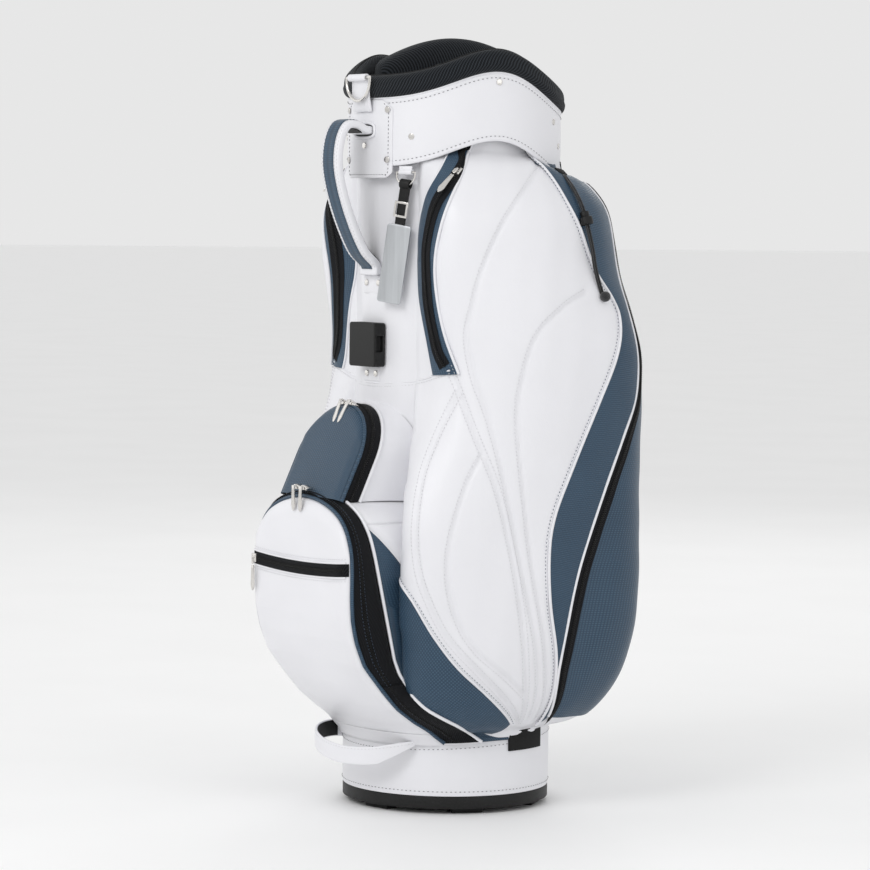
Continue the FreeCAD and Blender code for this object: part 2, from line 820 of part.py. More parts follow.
def make_hood_buckle():
    """The side-release buckle half for the rain hood, on its riveted strap."""
    gap = size("clearance")
    face = -(size("tube_radius") + gap)
    wide = size("buckle_width")
    tall = size("buckle_height")
    deep = size("buckle_depth")
    low = size("buckle_level")
    thick = size("cover_thickness")
    strap_wide = size("hood_strap_width")
    strap_long = size("hood_strap_length")
    corner = Vector(-strap_wide / 2, face - thick, low - strap_long - 0.5)
    strap = Part.makeBox(strap_wide, thick, strap_long, corner)
    feature("hood_strap", strap)
    feature("buckle_rivets", rivets([
        (Vector(side * 9, face - thick, low - strap_long / 2), Vector(0, -1, 0)) for side in (-1, 1)
    ]))
    back = face - 1.2
    body = Part.makeBox(wide, deep, tall, Vector(-wide / 2, back - deep, low))
    body = body.makeFillet(3.5, [e for e in body.Edges if abs(e.Length - deep) < 1e-6])
    mouth = Part.makeBox(wide - 14, deep - 6, tall - 16, Vector(-wide / 2 + 7, back - deep + 3, low + 16.5))
    body = body.cut(mouth)
    for side in (-1, 1):
        window = Part.makeBox(12, deep - 6, 18, Vector(side * wide / 2 - 6, back - deep + 3, low + 17))
        body = body.cut(window)
    feature("hood_buckle", body)


# ---------------------------------------------------------------- snaps, zips and umbrella fittings


def skin_point(shape, angle, z):
    """The outermost point of a pocket at an angle and a height."""
    probe = Part.makeLine(around(angle, 90, z), around(angle, 280, z))
    hits = probe.common(shape).Vertexes
    return max((v.Point for v in hits), key=lambda p: p.x * p.x + p.y * p.y)


def skin_frame(shape, angle, z, lift=0.0):
    """A placement on the skin: X round the bag, Y outwards, Z up along the skin."""
    here = skin_point(shape, angle, z)
    across = skin_point(shape, angle + 1.5, z) - skin_point(shape, angle - 1.5, z)
    upward = skin_point(shape, angle, z + 4) - skin_point(shape, angle, z - 4)
    out = upward.cross(across).normalize()
    if out.x * here.x + out.y * here.y < 0:
        out = out * -1
    rise = (upward - out * upward.dot(out)).normalize()
    side = out.cross(rise)
    turn = Rotation(side, out, rise, "ZYX")
    return Placement(here + out * lift, turn)


def make_snaps(right):
    outer = size("collar_radius")
    collar_spots = [(32, 764), (79, 826), (122, 784), (131, 757)]
    both = collar_spots + [(-angle, z) for angle, z in collar_spots]
    feature("collar_snaps", rivets([(around(a, outer, z), around(a, 1, 0)) for a, z in both]))
    places = []
    for angle, z in ((114, 461), (98, 352), (95, 225)):
        spot = skin_frame(right, angle, z)
        out = spot.Rotation.multVec(Vector(0, 1, 0))
        places.append((spot.Base, out))
        places.append((Vector(-spot.Base.x, spot.Base.y, spot.Base.z), Vector(-out.x, out.y, out.z)))
    feature("panel_snaps", rivets(places))


def zip_pair(name, frame, crown, droop):
    """A slider that rides a zip and its pull. In the frame Y leaves the cloth and the pull
    hangs along -Z, bent down over an edge by the droop angle."""
    gap = size("clearance")
    wide = size("slider_width")
    tall = size("slider_height")
    long = size("slider_length")
    body = Part.makeBox(wide, tall, long, Vector(-wide / 2, gap, -long / 2))
    bridge = Part.makeBox(2.6, 2.2, crown + 2, Vector(-1.3, gap + tall, -crown))
    feature(f"zip_slider_{name}", body.fuse(bridge), frame)
    thick = size("pull_thickness")
    plate = Part.makeBox(size("pull_width"), thick, size("pull_length"),
                         Vector(-size("pull_width") / 2, -thick / 2, thick / 2 - size("pull_length")))
    # the plate's corner clears the bridge as it swings past
    start = Vector(0, gap + tall + 1.1, -crown - thick / math.sqrt(2) - gap)
    bend = Placement(start, Rotation(Vector(1, 0, 0), -droop))
    feature(f"zip_pull_{name}", plate, frame.multiply(bend))
    show_hinge(name, frame.multiply(bend), Vector(0, 0, 0))


def make_zip_pulls(right):
    # on the upper zips, whose track is an arc through three points of the skin
    lift = 4 * size("clearance")
    track = [skin_frame(right, angle, z, lift).Base for angle, z in UPPER_TRACK]
    centre = Part.Arc(*track).toShape().Curve.Center
    for name, hand in (("upper_right", 1), ("upper_left", -1)):
        start = Vector(hand * track[0].x, track[0].y, track[0].z)
        middle = Vector(hand * centre.x, centre.y, centre.z)
        later = Vector(hand * track[1].x, track[1].y, track[1].z)
        out = (start - middle).normalize()
        rise = (out * (later - start).dot(out) - (later - start)).normalize()
        turn = Rotation(out.cross(rise), out, rise, "ZYX")
        zip_pair(name, Placement(start, turn), 7.0, 0.0)
        show_hinge(f"track_{name}", Placement(middle, turn), Vector(0, 0, 0))

    # on the ball pocket's arch; the pulls hang over its front edge
    radius = size("ball_arch_radius")
    centre = size("ball_peak") - radius
    lid_middle = -size("ball_depth") + size("slider_length") / 2 + 2
    for name, side in (("ball_left", -1), ("ball_right", 1)):
        swing = math.radians(side * 7.5 / radius * 180 / math.pi)
        out = Vector(math.sin(swing), 0, math.cos(swing))
        spot = Vector(0, lid_middle, centre) + out * radius
        forward = Vector(0, -1, 0)
        turn = Rotation(out.cross(forward * -1), out, forward * -1, "ZYX")
        zip_pair(name, Placement(spot, turn), 8.0, 90.0)

    # on the dome pocket's arch
    radius = size("valuables_radius")
    lean = dome_frame()
    for name, side in (("dome_left", -1), ("dome_right", 1)):
        swing = side * 7.5 / radius
        out = lean.Rotation.multVec(Vector(math.sin(swing), 0, math.cos(swing)))
        inward = lean.Rotation.multVec(Vector(0, 1, 0))
        spot = lean.multVec(Vector(radius * math.sin(swing), 7.0, radius * math.cos(swing)))
        turn = Rotation(out.cross(inward), out, inward, "ZYX")
        zip_pair(name, Placement(spot, turn), 8.0, 90.0)

    # the level zip across the ball pocket's face
    spot = Vector(-88, -size("ball_depth"), size("face_zip_level"))
    turn = Rotation(Vector(0, 0, 1).cross(Vector(0, -1, 0)) * -1, Vector(0, -1, 0), Vector(0, 0, 1), "ZYX")
    zip_pair("ball_front", Placement(spot, turn), 7.0, 0.0)


def cord_tube(points, diameter, label):
    """Straight runs joined by tangent arcs, each as large as its two runs allow."""
    edges = []
    last = points[0]
    for index in range(1, len(points) - 1):
        before = points[index] - points[index - 1]
        after = points[index + 1] - points[index]
        one = Vector(before).normalize()
        two = Vector(after).normalize()
        half_turn = math.acos(max(-1, min(1, one.dot(two)))) / 2
        shorter = min(before.Length, after.Length)
        setback = 0.45 * shorter
        print(f"{label} radius {setback / math.tan(half_turn):.1f}")
        start = points[index] - one * setback
        end = points[index] + two * setback
        corner = (one * -1 + two).normalize()
        radius = setback / math.tan(half_turn)
        middle = points[index] + corner * (radius / math.cos(half_turn) - radius)
        edges.append(Part.LineSegment(last, start).toShape())
        edges.append(Part.Arc(start, middle, end).toShape())
        last = end
    edges.append(Part.LineSegment(last, points[-1]).toShape())
    path = Part.Wire(edges)
    way = (points[1] - points[0]).normalize()
    section = Part.Wire([Part.makeCircle(diameter / 2, points[0], way)])
    tube = path.makePipeShell([section], True, False)
    print(f"{label} length {path.Length:.1f}, volume ratio",
          round(tube.Volume / (math.pi * diameter * diameter / 4 * path.Length), 4))
    return tube


UPPER_TRACK = ((57, 724), (49, 690), (44, 648))

# Places where the umbrella cord lies on the skin: (angle, height, distance off the skin).
CORD_ROUTE = (
    (116, 722, 3.6), (112.6, 697, 12.0), (112.6, 643, 12.8), (115, 614, 5.5), (117, 590, 3.0),
)


def make_umbrella_cord(right):
    """Two strands from a tab under the collar, through a cord lock, to a knot."""
    gap = size("clearance")
    diameter = size("cord_diameter")
    frames = [skin_frame(right, angle, z, lift) for angle, z, lift in CORD_ROUTE]
    strands = []
    for side in (-1, 1):
        shift = Vector(side * (diameter / 2 + 0.6), 0, 0)
        strands.append([frame.multVec(shift) for frame in frames])
    knot_place = frames[-1]
    knot = Part.makeSphere(6.0)
    knot.Placement = Placement(knot_place.multVec(Vector(0, 3.4, -4.5)), Rotation())
    tubes = []
    for name, points in zip(("a", "b"), strands):
        tube = cord_tube(points, diameter, f"cord {name}")
        print("strand", name, [[round(c, 2) for c in p] for p in points])
        tubes.append(tube.cut(knot))
    feature("umbrella_cord_a", tubes[0])
    feature("umbrella_cord_b", tubes[1])
    feature("cord_knot", knot)

    # the tab that the strands come out of
    start = frames[0]
    along = (strands[0][1] - strands[0][0]).normalize()
    out = start.Rotation.multVec(Vector(0, 1, 0))
    out = (out - along * out.dot(along)).normalize()
    turn = Rotation(out.cross(along * -1), out, along * -1, "ZYX")
    tab = Part.makeBox(14, 3.2, 10, Vector(-7, -1.6, 0))
    feature("cord_tab", tab, Placement(start.Base, turn))

    # the lock rides the straight run between the second and third places
    a_top, a_low = strands[0][1], strands[0][2]
    b_top, b_low = strands[1][1], strands[1][2]
    top = (a_top + b_top) * 0.5
    low = (a_low + b_low) * 0.5
    along = (low - top).normalize()
    middle = (top + low) * 0.5
    out = frames[1].Rotation.multVec(Vector(0, 1, 0))
    out = (out - along * out.dot(along)).normalize()
    across = out.cross(along * -1)
    turn = Rotation(across, out, along * -1, "ZYX")
    place = Placement(middle, turn)
    barrel = Part.makeCylinder(7.5, 9.0, Vector(0, 0, -6.5))
    barrel = barrel.makeFillet(1.6, [e for e in barrel.Edges if e.Curve.TypeId == "Part::GeomCircle"])
    barrel = barrel.cut(Part.makeCylinder(5.0 + gap, 6.0, Vector(0, 0, -2.7)))
    barrel.Placement = place
    bores = []
    for points in strands:
        run = points[2] - points[1]
        way = Vector(run).normalize()
        bores.append(Part.makeCylinder(diameter / 2 + gap, run.Length + 20, points[1] - way * 10, way))
    feature("cord_lock", barrel.cut(bores[0]).cut(bores[1]))
    button = Part.makeCylinder(5.0, 7.0, Vector(0, 0, 1.5))
    button.Placement = place
    feature("cord_lock_button", button.cut(bores[0]).cut(bores[1]))
    print("lock", [round(v, 3) for v in middle], [round(v, 4) for v in along])


def make_tip_pocket():
    """The flat elastic pocket at the base that takes the umbrella's tip."""
    inner = size("base_radius") + size("clearance")
    low = size("tip_pocket_bottom")
    high = size("pocket_bottom") - 1
    outside = Part.makeCylinder(inner + 2.6, high - low, Vector(0, 0, low), Vector(0, 0, 1), 27)
    pocket = outside.cut(Part.makeCylinder(inner, high - low, Vector(0, 0, low)))
    pocket.rotate(Vector(0, 0, 0), Vector(0, 0, 1), 105 - 13.5 - 90)
    feature("umbrella_tip_pocket", pocket)


# ---------------------------------------------------------------- run

make_base()
base_handle()
make_tube()
make_top()
right_pocket = make_pockets()
make_handle()
make_top_ring()
make_tag()
make_hood_buckle()
make_snaps(right_pocket)
make_zip_pulls(right_pocket)
make_umbrella_cord(right_pocket)
make_tip_pocket()

doc.recompute()
for obj in doc.Objects:
    if "Invalid" in obj.State or "Error" in obj.State:
        raise RuntimeError(f"{obj.Name}: {obj.State}")
os.makedirs("parts", exist_ok=True)
for obj in nodes:
    if obj.Shape.isNull() or not obj.Shape.isValid():
        raise RuntimeError(f"{obj.Label}: bad shape")
    obj.Shape.exportStep(f"parts/{obj.Label}.step")
    print(obj.Label, len(obj.Shape.Solids), round(obj.Shape.Volume / 1000, 1), "cm3")
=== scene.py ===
# %% [markdown]
# # A caddie golf bag, built as a lesson
# The bag's hard parts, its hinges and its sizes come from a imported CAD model. This script
# loads that model as a fixed frame and dresses it: soft panels, piping, zips, stitching,
# padding, cords and finishes. Everything is in metres. +Z is up, -Y is the front of the
# bag, and +X is the side with the umbrella cord.

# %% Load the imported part
import json
import math

import bmesh
import bpy
import numpy as np
from mathutils import Matrix, Vector
from mathutils.bvhtree import BVHTree

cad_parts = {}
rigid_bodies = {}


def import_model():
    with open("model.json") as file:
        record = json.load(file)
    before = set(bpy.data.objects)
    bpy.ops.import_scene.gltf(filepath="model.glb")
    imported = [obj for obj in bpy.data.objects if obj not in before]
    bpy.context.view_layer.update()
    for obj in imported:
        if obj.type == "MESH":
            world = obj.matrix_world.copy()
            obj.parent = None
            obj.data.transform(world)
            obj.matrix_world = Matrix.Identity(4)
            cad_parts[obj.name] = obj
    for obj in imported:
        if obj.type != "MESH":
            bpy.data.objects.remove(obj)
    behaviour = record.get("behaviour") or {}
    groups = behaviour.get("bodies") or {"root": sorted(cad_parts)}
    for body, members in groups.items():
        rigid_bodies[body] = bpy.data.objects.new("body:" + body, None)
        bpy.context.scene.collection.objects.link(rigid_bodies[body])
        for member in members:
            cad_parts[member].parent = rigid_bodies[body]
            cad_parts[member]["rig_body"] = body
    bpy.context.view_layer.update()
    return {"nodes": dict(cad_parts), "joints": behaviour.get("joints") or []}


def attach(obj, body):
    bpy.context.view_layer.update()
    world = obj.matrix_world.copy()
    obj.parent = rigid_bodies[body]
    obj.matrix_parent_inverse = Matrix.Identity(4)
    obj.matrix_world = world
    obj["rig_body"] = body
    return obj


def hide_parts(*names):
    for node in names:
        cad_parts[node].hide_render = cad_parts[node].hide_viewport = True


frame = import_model()
nodes = frame["nodes"]
MM = 0.001

# %% [markdown]
# ## Camera, floor and light
# The bag is looked at from its front right, a little above the middle. A long lens from
# four metres keeps the tube's sides almost parallel, as a catalogue picture does. The
# floor is a plain pale sheet and the light is soft and comes from large areas, so white
# leather keeps its shading without hard shadows.

# %% Camera
scene = bpy.context.scene
camera = bpy.data.objects.new("camera", bpy.data.cameras.new("camera"))
scene.collection.objects.link(camera)
camera.location = (3.334, -2.334, 0.674)
look_at = Vector((-0.010, -0.014, 0.4226))
turn = (look_at - camera.location).to_track_quat("-Z", "Y")
camera.rotation_euler = (turn.to_matrix() @ Matrix.Rotation(math.radians(0.8), 3, "Z")).to_euler()
camera.data.lens = 145.8
camera.data.sensor_width = 36.0
scene.camera = camera

# %% Floor and lights
floor_mesh = bpy.data.meshes.new("floor")
sheet = bmesh.new()
bmesh.ops.create_grid(sheet, x_segments=1, y_segments=1, size=60.0)
sheet.to_mesh(floor_mesh)
sheet.free()
floor = bpy.data.objects.new("floor", floor_mesh)
scene.collection.objects.link(floor)


def soft_light(name, place, size, watts):
    """A square area light that faces the middle of the bag."""
    lamp = bpy.data.lights.new(name, "AREA")
    lamp.size = size
    lamp.energy = watts
    light = bpy.data.objects.new(name, lamp)
    light.location = place
    light.rotation_euler = (Vector((0, 0, 0.45)) - light.location).to_track_quat("-Z", "Y").to_euler()
    scene.collection.objects.link(light)


soft_light("key_light", (1.1, -3.2, 2.6), 1.6, 40)
soft_light("side_light", (3.2, 0.6, 1.4), 1.8, 8)
soft_light("back_light", (-2.2, 2.4, 2.4), 1.8, 12)
soft_light("left_light", (-2.6, -1.8, 1.2), 1.8, 5)
world = bpy.data.worlds.new("studio")
world.use_nodes = True
world.node_tree.nodes["Background"].inputs["Color"].default_value = (1, 1, 1, 1)
world.node_tree.nodes["Background"].inputs["Strength"].default_value = 0.80
scene.world = world
scene.view_settings.view_transform = "Standard"
print("camera", [round(v, 3) for v in camera.location], "lens", camera.data.lens)

# %% [markdown]
# ## Finishes
# Each material is built from procedural nodes. A pattern that runs with the cloth, such as
# a weave or a zip tape's rib, reads the piece's own UV map, which every panel gets in
# metres. Grain that has no direction reads Object coordinates.


# %% A small kit for material nodes
class Finish:
    """A material with one Principled shader and short calls for the nodes before it."""

    def __init__(self, name, color, roughness, **sockets):
        self.material = bpy.data.materials.new(name)
        self.material.use_nodes = True
        self.tree = self.material.node_tree
        self.shader = self.tree.nodes["Principled BSDF"]
        self.shader.inputs["Base Color"].default_value = (*color, 1)
        self.shader.inputs["Roughness"].default_value = roughness
        for socket, value in sockets.items():
            self.shader.inputs[socket.replace("_", " ")].default_value = value
        self.place = self.tree.nodes.new("ShaderNodeTexCoord")

    def node(self, kind, **values):
        made = self.tree.nodes.new(kind)
        for key, value in values.items():
            if key in made.inputs:
                made.inputs[key].default_value = value
            else:
                setattr(made, key, value)
        return made

    def link(self, out, socket):
        self.tree.links.new(out, socket)

    def mapped(self, source, scale, turn=0.0):
        """Object or UV coordinates, turned and scaled."""
        step = self.node("ShaderNodeMapping")
        step.inputs["Scale"].default_value = scale
        step.inputs["Rotation"].default_value = (0, 0, turn)
        self.link(self.place.outputs[source], step.inputs["Vector"])
        return step.outputs["Vector"]

    def noise(self, scale, detail=3.0, source="Object"):
        made = self.node("ShaderNodeTexNoise", Scale=scale, Detail=detail)
        self.link(self.place.outputs[source], made.inputs["Vector"])
        return made.outputs["Fac"]

    def wave(self, source, scale, turn=0.0, stretch=(1, 1, 1)):
        """Sine ridges along one direction, from 0 to 1."""
        made = self.node("ShaderNodeTexWave", Scale=scale)
        self.link(self.mapped(source, stretch, turn), made.inputs["Vector"])
        return made.outputs["Fac"]

    def math(self, operation, one, two):
        made = self.node("ShaderNodeMath", operation=operation)
        for socket, value in zip(made.inputs, (one, two)):
            if isinstance(value, (int, float)):
                socket.default_value = value
            else:
                self.link(value, socket)
        return made.outputs["Value"]

    def ramp(self, fac, low, high, start=0.3, stop=0.7):
        made = self.node("ShaderNodeValToRGB")
        made.color_ramp.elements[0].position = start
        made.color_ramp.elements[1].position = stop
        made.color_ramp.elements[0].color = (*low, 1)
        made.color_ramp.elements[1].color = (*high, 1)
        self.link(fac, made.inputs["Fac"])
        return made.outputs["Color"]

    def color(self, fac, low, high, start=0.3, stop=0.7):
        self.link(self.ramp(fac, low, high, start, stop), self.shader.inputs["Base Color"])
        return self

    def rough(self, fac, low, high):
        spread = self.node("ShaderNodeMapRange")
        spread.inputs["To Min"].default_value = low
        spread.inputs["To Max"].default_value = high
        self.link(fac, spread.inputs["Value"])
        self.link(spread.outputs["Result"], self.shader.inputs["Roughness"])
        return self

    def bump(self, height, strength, depth):
        """Adds relief of a depth in metres; calls stack on each other."""
        made = self.node("ShaderNodeBump", Strength=strength, Distance=depth)
        self.link(height, made.inputs["Height"])
        link = self.shader.inputs["Normal"].links
        if link:
            self.link(link[0].from_socket, made.inputs["Normal"])
        self.link(made.outputs["Normal"], self.shader.inputs["Normal"])
        return self


# %% Leathers
def white_leather(name, tint, source="Object"):
    """Smooth synthetic leather: soft sheen, a faint pebble and slow creases."""
    made = Finish(name, tint, 0.42, Specular_IOR_Level=0.42, Coat_Weight=0.06, Coat_Roughness=0.35)
    slow = made.noise(9.0, 4.0)
    made.color(slow, tuple(c * 0.965 for c in tint), tint)
    made.rough(made.noise(40.0), 0.36, 0.50)
    pebble = made.node("ShaderNodeTexVoronoi", Scale=900.0)
    made.link(made.place.outputs["Object"], pebble.inputs["Vector"])
    made.bump(pebble.outputs["Distance"], 0.16, 0.0004)
    made.bump(slow, 0.25, 0.004)
    return made.material


def navy_leather(name, source="UV"):
    """Navy leather embossed with a fine square weave about 1.8 mm across."""
    made = Finish(name, (0.028, 0.064, 0.108), 0.42, Specular_IOR_Level=0.36, Sheen_Weight=0.03)
    if source == "UV":
        across = made.wave("UV", 131.0)
        along = made.wave("UV", 131.0, math.radians(90))
        weave = made.math("MULTIPLY", across, along)
    else:
        across = made.wave("Object", 131.0, math.radians(45), (1, 1, 0.1))
        lift = made.node("ShaderNodeTexWave", Scale=131.0, bands_direction="Z")
        made.link(made.place.outputs["Object"], lift.inputs["Vector"])
        weave = made.math("MULTIPLY", across, lift.outputs["Fac"])
    patchy = made.noise(14.0)
    tone = made.math("ADD", made.math("MULTIPLY", weave, 0.75), made.math("MULTIPLY", patchy, 0.25))
    made.color(tone, (0.018, 0.042, 0.074), (0.050, 0.100, 0.158), 0.05, 0.75)
    made.rough(weave, 0.34, 0.54)
    made.bump(weave, 0.55, 0.0006)
    return made.material


WHITE = white_leather("white_leather", (0.80, 0.80, 0.83))
NAVY = navy_leather("navy_leather")
NAVY_PLAIN = navy_leather("navy_leather_small_parts", "Object")


# %% Cloths, tapes, thread and cord
def black_mesh():
    """Open padded mesh with a diagonal rib, as sold for rucksack backs."""
    made = Finish("black_mesh", (0.008, 0.009, 0.011), 0.9, Specular_IOR_Level=0.18, Sheen_Weight=0.08)
    rib = made.wave("UV", 105.0, math.radians(38))
    cross = made.wave("UV", 210.0, math.radians(-52))
    cells = made.math("ADD", made.math("MULTIPLY", rib, 0.7), made.math("MULTIPLY", cross, 0.3))
    made.color(cells, (0.002, 0.003, 0.004), (0.028, 0.033, 0.040), 0.25, 0.85)
    made.bump(cells, 0.9, 0.0009)
    return made.material


def zip_tape():
    """Black woven tape with fine ribs across it."""
    made = Finish("zip_tape", (0.006, 0.006, 0.007), 0.85, Specular_IOR_Level=0.15, Sheen_Weight=0.03)
    rib = made.wave("UV", 160.0, math.radians(32))
    fine = made.noise(700.0, 2.0)
    made.color(rib, (0.003, 0.003, 0.004), (0.013, 0.014, 0.016), 0.2, 0.9)
    made.bump(made.math("ADD", rib, made.math("MULTIPLY", fine, 0.4)), 0.7, 0.0004)
    return made.material


def plain_black(name, rough, tone, grain, depth):
    """Moulded plastic, webbing or leather, told apart by their grain."""
    made = Finish(name, (tone, tone, tone * 1.1), rough, Specular_IOR_Level=0.28)
    spots = made.noise(grain, 4.0)
    made.color(spots, (tone * 0.7,) * 3, (tone * 1.5,) * 3)
    made.rough(spots, rough - 0.07, rough + 0.10)
    made.bump(spots, 0.35, depth)
    return made.material


def thread(name, tone):
    made = Finish(name, tone, 0.7, Sheen_Weight=0.3)
    ply = made.noise(1500.0, 2.0)
    made.color(ply, tuple(c * 0.7 for c in tone), tone)
    made.bump(ply, 0.4, 0.0002)
    return made.material


def braided_cord():
    """Elastic cord: two sets of slanting strands that cross, read along the cord."""
    made = Finish("braided_cord", (0.012, 0.012, 0.014), 0.8, Sheen_Weight=0.3)
    one = made.node("ShaderNodeTexWave", Scale=260.0, bands_direction="DIAGONAL")
    two = made.node("ShaderNodeTexWave", Scale=260.0, bands_direction="Z")
    for strand in (one, two):
        made.link(made.place.outputs["Object"], strand.inputs["Vector"])
    braid = made.math("MULTIPLY", one.outputs["Fac"], two.outputs["Fac"])
    made.color(braid, (0.004, 0.004, 0.005), (0.035, 0.036, 0.040), 0.1, 0.8)
    made.bump(braid, 0.8, 0.0005)
    return made.material


MESH = black_mesh()
TAPE = zip_tape()
TEETH = plain_black("zip_teeth", 0.42, 0.007, 600.0, 0.0001)
PLASTIC = plain_black("black_plastic", 0.46, 0.008, 450.0, 0.0003)
WEBBING = plain_black("black_webbing", 0.78, 0.008, 900.0, 0.0005)
BLACK_LEATHER = plain_black("black_leather", 0.50, 0.008, 350.0, 0.0005)
LINING = plain_black("lining_cloth", 0.85, 0.014, 1200.0, 0.0004)
GREY_THREAD = thread("grey_thread", (0.13, 0.13, 0.14))
WHITE_THREAD = thread("white_thread", (0.78, 0.78, 0.80))
NAVY_THREAD = thread("navy_thread", (0.03, 0.06, 0.11))
CORD = braided_cord()


# %% Metals
def metal(name, tone, rough, grain, brushed):
    made = Finish(name, tone, rough, Metallic=1.0)
    marks = made.node("ShaderNodeTexNoise", Scale=grain, Detail=4.0)
    made.link(made.mapped("Object", brushed), marks.inputs["Vector"])
    made.color(marks.outputs["Fac"], tuple(c * 0.88 for c in tone), tone)
    made.rough(marks.outputs["Fac"], rough * 0.75, rough * 1.35)
    made.bump(marks.outputs["Fac"], 0.10, 0.0002)
    return made.material


NICKEL = metal("nickel", (0.74, 0.72, 0.69), 0.20, 300.0, (1, 1, 1))
TAG_METAL = metal("tag_metal", (0.56, 0.58, 0.60), 0.36, 260.0, (1, 1, 0.06))
STAY = metal("stay_rod", (0.6, 0.6, 0.62), 0.35, 300.0, (1, 1, 0.1))
floor_finish = Finish("pale_floor", (0.93, 0.93, 0.93), 0.6)
floor_finish.color(floor_finish.noise(3.0), (0.92, 0.92, 0.92), (0.94, 0.94, 0.94))
floor.data.materials.append(floor_finish.material)
print("materials:", len(bpy.data.materials))

# %% [markdown]
# ## The umbrella cord
# A doubled elastic cord leaves a tab under the collar, hangs over the pocket through a
# cord lock and ends in a knot. A cord is one smooth line of a fixed length, so each strand
# is a curve with a few control points, and its roundness comes from the curve's bevel.

# %% Umbrella cord strands
CORD_ROUTES = {
    "umbrella_cord_front": ((0.12837, 0.06023, 0.72437), (0.15723, 0.06178, 0.70374),
                            (0.17474, 0.06804, 0.64447), (0.17028, 0.07600, 0.61504),
                            (0.17218, 0.08483, 0.59071)),
    "umbrella_cord_back": ((0.12687, 0.06372, 0.72454), (0.15614, 0.06541, 0.70401),
                           (0.17398, 0.07176, 0.64456), (0.16947, 0.07971, 0.61522),
                           (0.17130, 0.08852, 0.59099)),
}
CORD_DIAMETER = 0.0026


def make_cord(name, points, node):
    """One strand as a NURBS curve through its control points."""
    curve = bpy.data.curves.new(name, "CURVE")
    curve.dimensions = "3D"
    curve.bevel_depth = CORD_DIAMETER / 2
    curve.bevel_resolution = 4
    curve.resolution_u = 16
    curve.use_fill_caps = True
    spline = curve.splines.new("NURBS")
    spline.points.add(len(points) - 1)
    for point, place in zip(spline.points, points):
        point.co = (*place, 1)
    spline.order_u = 3
    spline.use_endpoint_u = True
    curve.materials.append(CORD)
    strand = bpy.data.objects.new(name, curve)
    scene.collection.objects.link(strand)
    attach(strand, "bag")
    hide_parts(node)
    return strand


for (cord_name, cord_points), cord_node in zip(CORD_ROUTES.items(), ("umbrella_cord_b", "umbrella_cord_a")):
    strand = make_cord(cord_name, cord_points, cord_node)
    line = [Vector(p) for p in cord_points]
    runs = sum((b - a).length for a, b in zip(line, line[1:]))
    print(cord_name, "runs add up to", round(runs, 4), "m")

# %% [markdown]
# ## Sheets that follow a shape
# Almost every soft part here is a rectangle of cloth laid onto a form. The same helper
# makes them all: Blender's grid operator gives the sheet, a function says where each point
# of the sheet goes, and the sheet's own width and height are kept as a UV map in metres,
# so that a weave keeps its scale.


# %% Grid sheets
def cloth(name, columns, rows, place, size, finish, body="bag", replaces=(),
          join_across=False, join_along=False, flip=False):
    """A grid whose point (u, v), each from 0 to 1, is put at place(u, v)."""
    made = bmesh.new()
    bmesh.ops.create_grid(made, x_segments=columns, y_segments=rows, size=0.5)
    uv = made.loops.layers.uv.new("cloth")
    for face in made.faces:
        for loop in face.loops:
            loop[uv].uv = ((loop.vert.co.x + 0.5) * size[0], (loop.vert.co.y + 0.5) * size[1])
    u = np.array([v.co.x + 0.5 for v in made.verts])
    v = np.array([v.co.y + 0.5 for v in made.verts])
    for vert, point in zip(made.verts, place(u, v)):
        vert.co = point
    if join_across or join_along:
        bmesh.ops.remove_doubles(made, verts=made.verts, dist=2e-6)
    if flip:
        bmesh.ops.reverse_faces(made, faces=made.faces)
    return finish_piece(name, made, finish, body, replaces)


def finish_piece(name, made, finish, body="bag", replaces=()):
    """Turns a bmesh into a smooth-shaded piece that rides on a body."""
    for face in made.faces:
        face.smooth = True
    mesh = bpy.data.meshes.new(name)
    made.to_mesh(mesh)
    made.free()
    for one in finish if isinstance(finish, (list, tuple)) else [finish]:
        mesh.materials.append(one)
    piece = bpy.data.objects.new(name, mesh)
    scene.collection.objects.link(piece)
    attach(piece, body)
    if replaces:
        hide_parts(*replaces)
    return piece


def thicken(piece, thickness, offset=-1.0):
    """Gives a sheet a wall with the Solidify modifier."""
    wall = piece.modifiers.new("wall", "SOLIDIFY")
    wall.thickness = thickness
    wall.offset = offset
    wall.use_even_offset = False
    return piece


def round_the_bag(angle, radius, z):
    """Points at angles in degrees from the front towards +X."""
    turn = np.radians(angle)
    return np.stack([radius * np.sin(turn), -radius * np.cos(turn), z + 0 * turn], axis=-1)


# %% [markdown]
# ## The bag's skin
# The side and rear pockets are stiff padded panels that wrap the tube. Their form is read
# back from the CAD solids: rays shot at the tube's axis give the skin's radius at every
# angle and height, and a little smoothing rounds the corners that sewn cloth can't hold.

# %% Read the skin's radius from the CAD
ANGLE_STEP, LEVEL_STEP = 1.0, 0.004
LOW_LEVEL, HIGH_LEVEL = 0.076, 0.772
skin_angles = np.arange(0, 181, ANGLE_STEP)
skin_levels = np.arange(LOW_LEVEL, HIGH_LEVEL, LEVEL_STEP)


def solid_tree(names):
    """One search tree over the triangles of several CAD nodes."""
    verts, faces = [], []
    for name in names:
        mesh = nodes[name].data
        start = len(verts)
        verts += [v.co.copy() for v in mesh.vertices]
        faces += [[start + i for i in p.vertices] for p in mesh.polygons]
    return BVHTree.FromPolygons(verts, faces)


